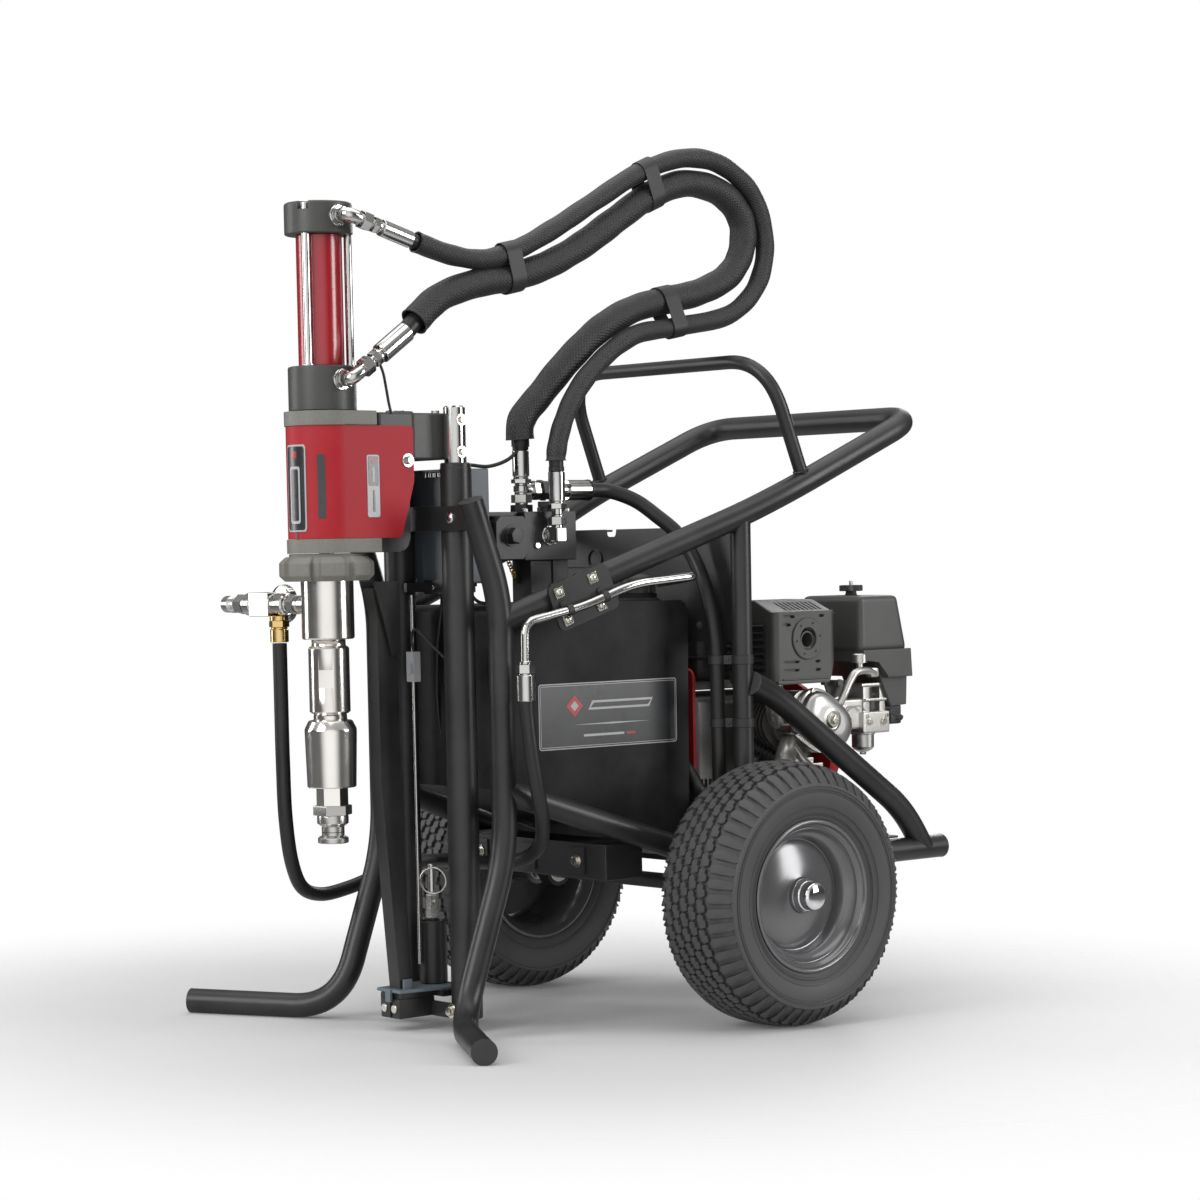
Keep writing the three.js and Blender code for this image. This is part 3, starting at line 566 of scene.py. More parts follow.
    def stud(self, outline, place, rise, inset, material):
        """Raised pad: place(u, v, w) maps the outline and a height onto a curved surface."""
        depth, foot = 1.5, 1.0
        middle = Vector((sum(u for u, v in outline), sum(v for u, v in outline))) / len(outline)
        rings = [[], [], []]
        for u, v in outline:
            way = Vector((u, v)) - middle
            top = middle + way * (1 - inset / max(1.0, way.length))
            low_rise, top_rise = (rise(y) if callable(rise) else rise for y in (v, top.y))
            for ring, (x, y, w) in zip(rings, ((u, v, -depth), (u, v, max(0.3, low_rise - foot)),
                                               (top.x, top.y, max(0.3, top_rise)))):
                ring.append(self.bm.verts.new(place(x, y, w)))
        return self.skin(rings, material)

    def object(self, name, sharp=SHARP):
        bm = self.bm
        bmesh.ops.recalc_face_normals(bm, faces=bm.faces)
        mesh = bpy.data.meshes.new(name)
        bm.to_mesh(mesh)
        bm.free()
        mesh.transform(MACHINE)
        for material in self.materials:
            mesh.materials.append(material)
        mesh.set_sharp_from_angle(angle=math.radians(sharp))
        made = bpy.data.objects.new(name, mesh)
        bpy.context.scene.collection.objects.link(made)
        weighted = made.modifiers.new("weighted", "WEIGHTED_NORMAL")
        weighted.keep_sharp = True
        return made


def piece(name, shape, body="root", replaces=(), sharp=SHARP):
    made = shape.object(name, sharp)
    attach(made, body)
    if replaces:
        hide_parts(*replaces)
    return made


def carve(target, tool_shape):
    """Cuts the tool's shape out of a finished piece."""
    tool = tool_shape.object("tool")
    cutter = target.modifiers.new("cut", "BOOLEAN")
    cutter.object = tool
    cutter.operation = "DIFFERENCE"
    cutter.solver = "EXACT"
    cutter.use_self = True
    target.modifiers.move(len(target.modifiers) - 1, 0)
    graph = bpy.context.evaluated_depsgraph_get()
    weighted = target.modifiers["weighted"]
    weighted.show_viewport = weighted.show_render = False
    graph.update()
    cut = bpy.data.meshes.new_from_object(target.evaluated_get(graph))
    target.modifiers.remove(cutter)
    weighted.show_viewport = weighted.show_render = True
    target.data = cut
    cut.set_sharp_from_angle(angle=math.radians(SHARP))
    bpy.data.objects.remove(tool)


# ------------------------------------------------------------------ camera, floor and light
def put(name, data, place, turn):
    """Adds an object that isn't part of the machine."""
    made = bpy.data.objects.new(name, data)
    made.location, made.rotation_euler = place, turn
    bpy.context.scene.collection.objects.link(made)
    return made


def make_camera():
    camera = bpy.data.cameras.new("camera")
    camera.lens, camera.sensor_width = 94.01, 36.0
    camera.shift_x, camera.shift_y = 0.0131, 0.1318
    camera.clip_end = 60.0
    bpy.context.scene.camera = put("camera", camera, (3.8195, -3.2125, 0.6550),
                                   (math.pi / 2 - 0.0506, 0.0, 0.8725))


def make_floor():
    """Pale floor that fades into the white backdrop away from the machine; the grey floor left round the
    machine is a painted soft shadow under it, on top of the real cast shadows.
    """
    bm = bmesh.new()
    bmesh.ops.create_grid(bm, x_segments=8, y_segments=8, size=30.0)
    mesh = bpy.data.meshes.new("floor")
    bm.to_mesh(mesh)
    bm.free()
    made = Nodes("floor_paint")
    made.set(Specular_IOR_Level=0.2, Emission_Color=rgba(1.0, 1.0, 1.0), Emission_Strength=0.05)
    made.tint(made.noise(1.4), rgba(0.57, 0.57, 0.57), rgba(0.59, 0.59, 0.59))
    made.drive("Roughness", made.span(made.noise(60.0, 2.0), 0.5, 0.6))
    flat = made.add("SeparateXYZ", {"Vector": made.place})
    span = made.math("SQRT", made.math("ADD", made.math("POWER", flat.outputs["X"], 2.0),
                                       made.math("POWER", flat.outputs["Y"], 2.0)))
    clear = made.add("BsdfTransparent").outputs["BSDF"]
    # Fading out with distance from the machine leaves a darker grey zone under it: a painted soft shadow.
    fade = made.add("MapRange", {"Value": span, "From Min": 0.65, "From Max": 1.6},
                    interpolation_type="SMOOTHSTEP").outputs["Result"]
    blend = made.add("MixShader", {0: fade, 1: made.shader.outputs["BSDF"], 2: clear}).outputs["Shader"]
    made.feed(made.tree.nodes["Material Output"].inputs["Surface"], blend)
    mesh.materials.append(made.material)
    put("floor", mesh, (0.0, 0.0, 0.0), (0.0, 0.0, 0.0))


def softbox(name, place, target, size, power):
    lamp = bpy.data.lights.new(name, "AREA")
    lamp.shape = "RECTANGLE"
    lamp.size, lamp.size_y = size
    lamp.energy = power
    put(name, lamp, place, (Vector(target) - Vector(place)).to_track_quat("-Z", "Y").to_euler())


def make_light():
    """White backdrop for the camera; a dim studio with a bright ceiling lights the machine."""
    world = bpy.data.worlds.new("studio")
    made = Tree(world, "Generated")
    white = made.tree.nodes["Background"]
    white.inputs["Color"].default_value = rgba(1.0, 1.0, 1.0)
    height = made.add("SeparateXYZ", {0: made.place}).outputs["Z"]
    ramp = made.add("ValToRGB", {0: made.math("MULTIPLY_ADD", height, 0.5, 0.5)})
    shades = ramp.color_ramp.elements
    for shade, stop, level in zip(shades, (0.0, 1.0), (0.5, 0.55)):
        shade.position, shade.color = stop, rgba(level, level, level)
    for stop, level in ((0.42, 0.16), (0.52, 0.05), (0.64, 0.08), (0.76, 0.32)):
        shades.new(stop).color = rgba(level, level, level)
    facing = made.add("VectorMath", {0: made.place, 1: (0.766, -0.643, 0.0)},
                      operation="DOT_PRODUCT").outputs["Value"]
    patch = made.add("MapRange", {"Value": facing, "From Min": 0.66, "From Max": 1.0},
                     interpolation_type="SMOOTHSTEP").outputs["Result"]
    total = made.add("VectorMath", {0: ramp.outputs[0], 1: patch}).outputs[0]
    studio = made.add("Background", {"Color": total}).outputs[0]
    seen = made.add("LightPath").outputs["Is Camera Ray"]
    choose = made.add("MixShader", {0: seen, 1: studio, 2: white.outputs[0]}).outputs[0]
    made.feed(made.tree.nodes["World Output"].inputs["Surface"], choose)
    bpy.context.scene.world = world
    for settings in (
        ("key", (0.4, -4.8, 2.6), (0.0, 0.0, 0.6), (2.4, 3.2), 130.0),
        ("left", (-3.6, -3.2, 1.8), (0.0, -0.2, 0.6), (1.2, 3.2), 60.0),
        ("side", (4.3, 3.0, 1.9), (0.0, 0.0, 0.4), (1.7, 2.8), 120.0),
        ("rim", (-2.6, 4.4, 2.4), (0.0, 0.0, 0.6), (1.4, 2.6), 50.0),
        ("top", (0.0, 0.0, 4.2), (0.0, 0.0, 0.0), (5.0, 5.0), 110.0),
    ):
        softbox(*settings)


bpy.context.scene.view_settings.view_transform = "Standard"
make_camera()


def clip_ends(points, first, last):
    """The stretch of a path between two distances, mm from its start and from its end."""
    total, spots = 0.0, [0.0]
    for a, b in zip(points, points[1:]):
        total += (b - a).length
        spots.append(total)
    return [p for p, s in zip(points, spots) if first <= s <= total - last]


def follow_mast(made):
    """Bakes the object's placement into its mesh."""
    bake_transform(made)


def as_cord(node):
    """Hides the hose's CAD node, which the new hose stands in for."""
    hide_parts(node)


def sleeved(name, route, hose_r, sleeve_r, material, node, bare):
    """Hydraulic hose in a loose braided sleeve that stops short of both ferrules."""
    points = smooth(route, 10)
    shape = Shape()
    shape.sweep(points, hose_r, HOSE, sides=24)
    cover = clip_ends(points, *bare)
    wobble = [sleeve_r + 0.35 * math.sin(i * 0.9) + 0.25 * math.sin(i * 0.37) for i, _ in enumerate(cover)]
    wobble[0] = wobble[-1] = sleeve_r + 0.8
    shape.sweep(cover, sleeve_r, material, sides=36, caps=False, radii=wobble)
    shape.sweep(cover, sleeve_r - 1.6, material, sides=36, caps=False)
    for end, inner in ((cover[0], cover[1]), (cover[-1], cover[-2])):
        axis = (end - inner).normalized()
        hem = [(sleeve_r - 1.6, -0.5), (sleeve_r + 0.8, -0.5), (sleeve_r + 1.2, 0.6), (sleeve_r - 1.2, 0.9)]
        shape.lathe(hem, end, axis, material, 36, closed=True)
    hose = shape.object(name)
    follow_mast(hose)
    as_cord(node)


def bypass_hose():
    points = smooth(BYPASS_ROUTE, 10)
    shape = Shape()
    shape.sweep(points, 11, HOSE, sides=28)
    hose = shape.object("bypass_hose_rubber")
    follow_mast(hose)
    as_cord("bypass_hose")


def tank_hose():
    shape = Shape()
    shape.curve(TANK_ROUTE, 11.5, HOSE, 28, 10)
    piece("tank_hose_rubber", shape, replaces=["tank_hose"])


def hull(points):
    """Convex outline round 2D points, anticlockwise."""
    points = sorted(set(points))

    def chain_of(run):
        kept = []
        for p in run:
            while len(kept) > 1 and ((kept[-1][0] - kept[-2][0]) * (p[1] - kept[-2][1])
                                     - (kept[-1][1] - kept[-2][1]) * (p[0] - kept[-2][0])) <= 0:
                kept.pop()
            kept.append(p)
        return kept[:-1]

    return chain_of(points) + chain_of(points[::-1])


def hose_strap(name, upper, lower, along):
    """Webbing band drawn round both hoses."""
    upper, lower, along = Vector(upper), Vector(lower), Vector(along).normalized()
    half, thin, thick = 14.0, 0.3, 1.8
    across = lower - upper
    across = (across - along * across.dot(along)).normalized()
    side = along.cross(across)
    gap = (lower - upper).dot(across)

    def band(grow):
        return hull([(round(centre + a, 4), round(b, 4)) for centre, radius in ((0.0, 15.6), (gap, 22.0))
                     for a, b in circle(36, radius + grow)])

    shape = Shape()
    rings = [[shape.bm.verts.new(upper + across * a + side * b + along * shift) for a, b in band(grow)]
             for grow, shift in ((thin, -half), (thick, -half), (thick, half), (thin, half))]
    shape.skin(rings, STRAP, closed=True)
    follow_mast(shape.object(name))


def make_hoses():
    sleeved("pressure_hose_sleeve", PRESSURE_ROUTE, 11.3, 15.2, SLEEVE, "pressure_hose", (14, 10))
    sleeved("return_hose_sleeve", RETURN_ROUTE, 14.0, 21.6, SLEEVE_WIDE, "return_hose", (26, 8))
    bypass_hose()
    tank_hose()
    hose_strap("hose_strap_front", (75, -313, 986), (70, -309, 948), (0, 1, 0.22))
    hose_strap("hose_strap_upper", (78, -37, 1127), (70, -20, 1089), (0, 1, 0.42))
    hose_strap("hose_strap_lower", (86, 13, 883), (70, 20, 928), (0, 1, 0.2))


make_hoses()
make_floor()
make_light()


# ------------------------------------------------------------------ tube frame
def over_floor(x, y, height):
    """Machine point at the given height over the floor."""
    rise = height - WHEEL_RADIUS
    return (x, y * math.cos(RAKE) + rise * math.sin(RAKE), rise * math.cos(RAKE) - y * math.sin(RAKE))


def end_plug(shape, tip, before):
    """Moulded plug in an open tube end."""
    shape.lathe([(TUBE_R - 0.1, -0.6), (TUBE_R + 0.35, -0.2), (TUBE_R + 0.35, 0.3), (TUBE_R - 1.5, 1.0),
                 (0, 1.2)], tip, tip - before, PLUG_BLACK, 40)


def leg(side):
    """Front upright that bends down into a foot turned outwards."""
    points = bent([
        (side * LEG_X, LEG_Y - 52, 610), (side * LEG_X, LEG_Y, 462), (side * LEG_X, LEG_Y, 80),
        over_floor(side * LEG_X, -491, TUBE_R), over_floor(side * 376, -622, TUBE_R),
    ], [50, 60, 80])
    shape = Shape()
    shape.sweep(points, TUBE_R, POWDER, sides=40)
    end_plug(shape, points[0], points[1])
    end_plug(shape, points[-1], points[-2])
    return shape


def rail(side):
    points = bent([
        (side * LEG_X, LEG_Y, 176), (side * 222, 0, RAIL_Z + 1), (side * RAIL_X, 60, RAIL_Z),
        (side * RAIL_X, 461, RAIL_Z),
    ], [55, 28])
    shape = Shape()
    shape.sweep(points, TUBE_R, POWDER, sides=36)
    end_plug(shape, points[-1], points[-2])
    x = side * RAIL_X
    shape.prism([(-26, 30), (-26, -6), *arc2(0, 0, 26, 193, 347, 14), (26, -6), (26, 30)],
                (x - 13, 0, 0), Y, Z, 26, POWDER, bevel=1.0)
    return shape


def rear_brace(side):
    points = bent([(side * 240, 24, 321), (side * 231, 84, 298), (side * 226, 372, 100),
                   (side * 226, 418, RAIL_Z)], [42, 44])
    shape = Shape()
    shape.sweep(points, TUBE_R, POWDER, sides=36)
    end_plug(shape, points[0], points[1])
    return shape


def handle_frame():
    corners = [(LEG_X, LEG_Y, 430), (229, 30, 587), (HANDLE_X, 125, 628), (HANDLE_X, 390, 738)]
    corners += [(-x, y, z) for x, y, z in corners[::-1]]
    shape = Shape()
    shape.sweep(bent(corners, [48, 48, 62, 62, 48, 48]), TUBE_R, POWDER, sides=40)
    return shape


def hose_hoop():
    top = (HANDLE_X - 4, 139 - 203 * 0.36, 636 + 203 * 0.93)
    corners = [(HANDLE_X, 139, 636), top, (-top[0], top[1], top[2]), (-HANDLE_X, 139, 636)]
    shape = Shape()
    shape.sweep(bent(corners, [88, 88]), HOOP_R, POWDER, sides=28)
    for side in (1, -1):
        foot = (side * HANDLE_X, 139 - 17 * 0.36, 636 + 17 * 0.93)
        shape.sweep(ring_path(foot, (0, -0.36, 0.93), HOOP_R + 0.36, steps=40), 1.8, POWDER, sides=8,
                    caps=False)
    return shape


def rear_post(side):
    shape = Shape()
    shape.sweep([(side * 227, 18, RAIL_Z + 10), (side * 227, 18, 590)], POST_R, POWDER, sides=36)
    return shape


def make_frame():
    for label, side in SIDES:
        for node, build in (("leg", leg), ("rail", rail), ("rear_brace", rear_brace),
                            ("rear_post", rear_post)):
            piece(f"{node}_tube_{label}", build(side), replaces=[f"{node}_{label}"])
    piece("handle_tube", handle_frame(), replaces=["handle_frame"])
    piece("hose_hoop_bar", hose_hoop(), replaces=["hose_hoop"])
    make_deck()
    make_firewall()
    make_mast()


def make_deck():
    top = RAIL_Z + TUBE_R + 4.6
    deck = Shape()
    deck.box((-222, 42, top - 4), (222, 365, top), SHEET_BLACK, bevel=1.2)
    for y in (62, 318):
        deck.box((-203, y, 24), (203, y + 24, top - 3), SHEET_BLACK, bevel=1.5)
    for x in (-190, 190):
        for y in (74, 330):
            deck.bolt((x, y, top), Z, 13, ZINC)
    piece("engine_deck_plate", deck, replaces=["engine_deck"])
    bar = Shape()
    bar.box((-186, -235, 28), (186, -160, 84), SHEET_BLACK, bevel=2.5, segments=3)
    for x in (-120, 0, 120):
        bar.box((x - 18, -238, 36), (x + 18, -234, 76), SHEET_BLACK, bevel=1.2)
        bar.bolt((x, -238, 56), -Y, 11, ZINC)
    piece("tank_cross_bar", bar, replaces=["tank_cross_member"])


def make_firewall():
    outline = [(-208, 385), (208, 385), (208, 566)]
    for x in (62, -95):
        outline += [(x + 26, 566), (x + 24, 557), (x + 21, 554), (x + 5, 554), (x + 2, 557), (x, 566)]
    outline += [(-208, 566)]
    panel = Shape()
    panel.prism(outline, (0, 19, 0), X, Z, 2, SHEET_BLACK)
    for low, high in ((-206, -96), (-68, 61), (89, 206)):
        panel.box((low, 17.5, 562), (high, 33, 565.6), SHEET_BLACK, bevel=1.4)
    panel.box((-206, 17.5, 386), (206, 30, 389), SHEET_BLACK, bevel=1.2)
    for x in (-150, -30, 130):
        panel.dome((x, 17, 410), -Y, 5, 3.4, PLUG_BLACK, washer=7)
    piece("firewall_sheet", panel, replaces=["firewall_panel"])


# ------------------------------------------------------------------ mast
def guide_post(side):
    x, y = side * GUIDE_X, GUIDE_Y
    shape = Shape()
    shape.lathe([(18, GUIDE_LOW), (GUIDE_R - 1, GUIDE_LOW), (GUIDE_R, GUIDE_LOW + 1.2),
                 (GUIDE_R, GUIDE_HIGH - 8),
                 (GUIDE_R - 0.5, GUIDE_HIGH - 7.4), (GUIDE_R - 0.5, GUIDE_HIGH - 1.5),
                 (GUIDE_R - 2, GUIDE_HIGH), (18, GUIDE_HIGH)], (x, y, 0), Z, POWDER, 64, closed=True)
    screw = Vector((-side * 0.64, -0.77, 0)).normalized()
    shape.socket(Vector((x, y, 649)) + screw * (GUIDE_R - 1), screw, 4.2, 1.6, STEEL)
    return shape


def slider_post(side):
    x, y = side * GUIDE_X, GUIDE_Y
    shape = Shape()
    shape.lathe([(0, 0), (SLIDER_R, 0), (SLIDER_R, SLIDER_HIGH - 2.4), (SLIDER_R - 2.4, SLIDER_HIGH),
                 (0, SLIDER_HIGH)], (x, y, 0), Z, CHROME, 64)
    for z in (732, 684):
        shape.bolt((x + side * (SLIDER_R - 0.8), y, z), X * side, 9.5, ZINC, height=4.5)
    return shape


def mast_plate():
    shape = Shape()
    front = GUIDE_Y - 30.2
    shape.box((-139, front, 566), (139, GUIDE_Y - GUIDE_R + 0.5, 603), SHEET_BLACK, bevel=1.0)
    for side in (1, -1):
        shape.dome((side * 97, front, 585), -Y, 8.4, 5.2, CHROME)
        shape.collar((side * GUIDE_X, GUIDE_Y, 566), Z, 24.2, 27.5, 0, 37, SHEET_BLACK)
    return shape


def mast_beam():
    outline = [(-503, -127), (-480, -127), (-490, 120), (-492, 482), (-536, 482), (-528, 440), (-528, 180)]
    shape = Shape()
    shape.prism(outline, (-13, 0, 0), Y, Z, 26, SHEET_BLACK, bevel=1.6)
    gusset = [(-538, 492), (-492, 492), (-492, 380), (-506, 380)]
    for x in (-19, 15):
        shape.prism(gusset, (x, 0, 0), Y, Z, 4, SHEET_BLACK, bevel=0.8)
    return shape


def mast_base():
    front = GUIDE_Y - GUIDE_R - 0.35
    shape = Shape()
    shape.box((-24, -512, -171), (24, front, -141), CAST_BLACK, bevel=2.2, segments=3)
    shape.box((-108, front - 6, -171), (108, front, -148), SHEET_BLACK, bevel=1.2)
    shape.box((-46, front - 1, -141), (46, -398, -131.5), CAST_BLACK, bevel=1.4)
    shape.box((-27, -509, -141.2), (25, front, -131.5), CAST_BLACK, bevel=1.4)
    for x in (-13, 12):
        shape.disc((x, -512, -156), -Y, 6.6, 3.2, ZINC, bevel=1.0)
    shape.box((-4, -514.6, -170), (3, -511, -139), CAST_BLACK, bevel=0.8)
    for side in (1, -1):
        shape.bolt((side * GUIDE_X, front - 6, -159.5), -Y, 12, ZINC)
    return shape


def base_clamp():
    """Clamp plate at the mast foot with its stub lever."""
    shape = Shape()
    plan = ((-31, -514), (29, -514), (44, -398), (-44, -398))
    shape.hexahedron([(x, y, z) for z in (-131.4, -126.6) for x, y in plan], CLAMP_GREY, bevel=1.0)
    shape.box((-6, -517, -146), (7, -512.5, -126), CLAMP_GREY, bevel=1.0)
    shape.box((16, -500, -127), (20, -484, -112), CLAMP_GREY, bevel=0.9)
    return shape


def damper():
    x, y = -8, GUIDE_Y - 1
    low, high, r = -126, -30, 21.5
    shape = Shape()
    shape.lathe([(0, low), (r - 1, low), (r, low + 1), (r, high - 1.4), (r - 1.4, high), (r - 5, high),
                 (r - 6, high - 2.5), (9, high - 2.5), (9, high + 4), (0, high + 4)], (x, y, 0), Z,
                 CAST_BLACK, 56)
    shape.disc((x, y, high - 3), Z, 6, 12, STEEL)
    piece("damper_body", shape, replaces=["damper_cylinder"])
    fork = Shape()
    fork.box((x - 7, y - 7, high + 4), (x + 8, y + 7, high + 40), STEEL, bevel=1.2)
    fork.disc((x - 9, y, high + 30), X, 3.6, 20, ZINC)
    fork.disc((x, y - 9, high + 18), Y, 3.0, 18, ZINC)
    fork.disc((x, y, high + 39), Z, 6.5, 48, STEEL, bevel=1.0)
    fork.sweep(ring_path((x + 9, y - 4, high + 62), (0.64, -0.77, 0), 20, steps=40), 1.5, STEEL, sides=10,
               caps=False)
    piece("damper_fork", fork)
    pull = Shape()
    pull.sweep([(-9, -447, -95), (-9, -447, 470)], 2.6, STEEL, sides=16)
    pull.box((-16, -455, 338), (2, -441, 384), PALE_GREY, bevel=1.0)
    pull.box((-12, -458, 350), (-2, -440, 366), PALE_GREY, bevel=0.8)
    pull.curve([(-7, -447, 384), (-8, -450, 404), (2, -452, 418), (16, -446, 408), (26, -436, 392),
                (36, -428, 380), (44, -420, 368)], 2.2, WIRE, 12, 6)
    piece("mast_pull_rod", pull)


def make_mast():
    for label, side in SIDES:
        piece(f"guide_tube_{label}", guide_post(side), replaces=[f"guide_post_{label}"])
        piece(f"slider_rod_{label}", slider_post(side), "carriage", [f"slider_post_{label}"])
    piece("mast_plate", mast_plate(), replaces=["mast_cross_plate"])
    piece("mast_channel", mast_beam(), replaces=["mast_beam"])
    piece("mast_foot", mast_base(), replaces=["mast_base"])
    piece("mast_foot_clamp", base_clamp())
    damper()
    make_mast_bracket()


def make_mast_bracket():
    """Lower bracket under the control box and the small fittings in the mast's top."""
    shape = Shape()
    shape.box((-40, -400, 470), (60, -393, 492), SHEET_BLACK, bevel=1.0)
    shape.box((-30, -446, 474), (-22, -398, 488), SHEET_BLACK, bevel=1.0)
    shape.dome((-16, -400, 481), -Y, 3.5, 2.4, STEEL)
    for k in range(4):
        shape.disc((-28 + 12 * k, -401, 655), -Z, 3.6, 7, CHROME, bevel=0.8)
    shape.box((-36, -408, 656), (24, -396, 660), SHEET_BLACK, bevel=0.8)
    piece("control_box_bracket", shape)


make_frame()


# ------------------------------------------------------------------ wheels
TREAD_R = 200
TREAD_SIDE = [
    (0, 197.6), (20, 197.2), (38, 195.6), (50, 192.2), (60, 187.4), (68, 181), (73.5, 173.5), (77, 165),
    (78, 155), (77, 144), (74.5, 134),
]
PADS_ROUND = 54
LANE_WIDTH = 17.6


def tread_point(distance):
    """(offset from the centre plane, radius) and outward normal, at a distance along the tread section."""
    left = abs(distance)
    for (h0, r0), (h1, r1) in zip(TREAD_SIDE, TREAD_SIDE[1:]):
        run = math.hypot(h1 - h0, r1 - r0)
        if left <= run or (h1, r1) == TREAD_SIDE[-1]:
            t = left / run
            flip = -1 if distance < 0 else 1
            place = (flip * (h0 + (h1 - h0) * t), r0 + (r1 - r0) * t)
            return place, (flip * (r0 - r1) / run, (h1 - h0) / run)
        left -= run


def lug_height(v):
    return 5.6 - 3.2 * max(0.0, (abs(v) - 60) / 27)


def make_tyre(side, label):
    centre, axis = Vector((side * TRACK_HALF, 0, 0)), X * side
    outer = [(r, h) for h, r in TREAD_SIDE]
    wall = [(172.5, 77.6), (171.5, 78.9), (168.5, 79.2), (167, 77.6), (158, 78.3), (148, 77.7), (139, 75.6),
            (134, 73.8), (132.5, 72.2), (130, 71.8), (128.5, 72.8), (121, 70.6), (116.6, 67.4), (114, 60)]
    half = [point for point in outer if point[0] > 172.6] + wall
    profile = [(r, -h) for r, h in half[::-1]] + half[1:]
    shape = Shape()
    shape.lathe(profile, centre, axis, TYRE, 144, closed=True)

    def on_tread(angle):
        def place(u, v, w):
            (h, r), (nh, nr) = tread_point(v)
            turn = angle + u / TREAD_R
            radius = r + nr * w
            return centre + axis * (h + nh * w) + Vector((0, math.cos(turn), math.sin(turn))) * radius
        return place

    block = [(-10.6, -1.4), (-8.4, -7.2), (0.4, -7.2), (2.2, -4.2), (9, -4.2)]
    block += [(-u, -v) for u, v in block]
    lug = [(0, 43.5), (7.2, 48), (8.4, 60), (7.6, 80), (4.5, 87)]
    lug += [(-u, v) for u, v in lug[:0:-1]]
    for n in range(PADS_ROUND):
        for lane in range(-2, 3):
            angle = 2 * math.pi * (n + (lane % 2) * 0.5) / PADS_ROUND
            shape.stud([(u, v + lane * LANE_WIDTH) for u, v in block], on_tread(angle), 6.4, 0.8, TYRE)
        for flip in (1, -1):
            angle = 2 * math.pi * (n + (0.5 if flip > 0 else 0.0)) / PADS_ROUND
            shape.stud([(u, v * flip) for u, v in lug], on_tread(angle), lug_height, 1.2, TYRE)
    for r, h, wide in ((163.5, 78.4, 0.9), (160, 78.3, 0.6), (136.5, 74.9, 0.8), (127, 72.6, 0.9),
                       (124, 71.8, 0.6)):
        shape.sweep(ring_path(centre + axis * h, axis, r, steps=96), wide, SIDEWALL, sides=6, caps=False)
    piece(f"tyre_tread_{label}", shape, f"wheel_{label}", [f"tyre_{label}"], sharp=28.0)


def make_rim(side, label):
    centre, axis = Vector((side * TRACK_HALF, 0, 0)), X * side
    profile = [
        (13.2, 44), (26.5, 50), (28, 46), (33, 43.5), (45, 41.5), (60, 38.5), (75, 34), (83.4, 29.6),
        (84.6, 28.4),
        (86, 28.8), (87, 32), (88, 39), (89.5, 44), (92, 46.5), (95, 48), (98, 50.5), (101, 54.5), (104, 60),
        (106, 63), (108, 65), (110, 66.6), (110.6, 69), (111.6, 71.4), (113.4, 72.6), (115.6, 72.4),
        (117.4, 70.6),
        (117.2, 69), (113, 66.5), (104, 61), (97, 40), (97, -40), (104, -61), (113, -66.5), (117.2, -69),
        (117.4, -70.6), (115.6, -72.4), (113.4, -72.6), (111, -70.6), (101, -58), (92, -40), (92, 22),
        (83, 22), (60, 32), (28, 38), (26.5, -58), (13.2, -58),
    ]
    shape = Shape()
    shape.lathe(profile, centre, axis, RIM, 128, closed=True)
    bead = ring_path(centre + axis * 57.4, axis, 102.8, steps=96)
    shape.sweep(bead, 0.9, RIM, sides=8, caps=False)
    piece(f"rim_dish_{label}", shape, f"wheel_{label}", [f"rim_{label}"], sharp=40.0)
    cap = Shape()
    cap.lathe([(0, 40), (25.6, 40), (25.6, 50.5), (24.9, 51.6), (24.3, 52.2), (24.3, 61), (23.6, 62.4),
               (22.2, 63.2),
               (21.8, 74.5), (20.6, 77.5), (17, 79.6), (10, 80.9), (0, 81.4)], centre, axis, MIRROR, 72)
    piece(f"hub_cap_{label}", cap, f"wheel_{label}", sharp=50.0)


def make_wheels():
    for label, side in SIDES:
        make_tyre(side, label)
        make_rim(side, label)
    shaft = Shape()
    reach = axle_high.x - axle_low.x
    shaft.chain((-reach / 2 / MM, 0, 0), X, [(AXLE_R, reach / MM, PLUG_BLACK)])
    for side in (1, -1):
        for x in (RAIL_X - 14, TRACK_HALF - 62):
            shaft.chain((side * x, 0, 0), X * side, [(AXLE_R + 7, 3, ZINC)])
    piece("axle_shaft", shaft, replaces=["axle"])


make_wheels()


# ------------------------------------------------------------------ hydraulic motor
STUD_ANGLES = (-62, 58, 178)
STUD_RING = 42.6
YOKE_R = 58
COVER_R = 56
COVER_LOW = 557.4
COVER_HIGH = 723.6
CASTLE_R = 70.5
OUTLET_Z = 460


def round_pump(angle, radius, z):
    """Point at an azimuth and radius about the pump's axis."""
    turn = math.radians(angle)
    return Vector((radius * math.cos(turn), PUMP_Y + radius * math.sin(turn), z))


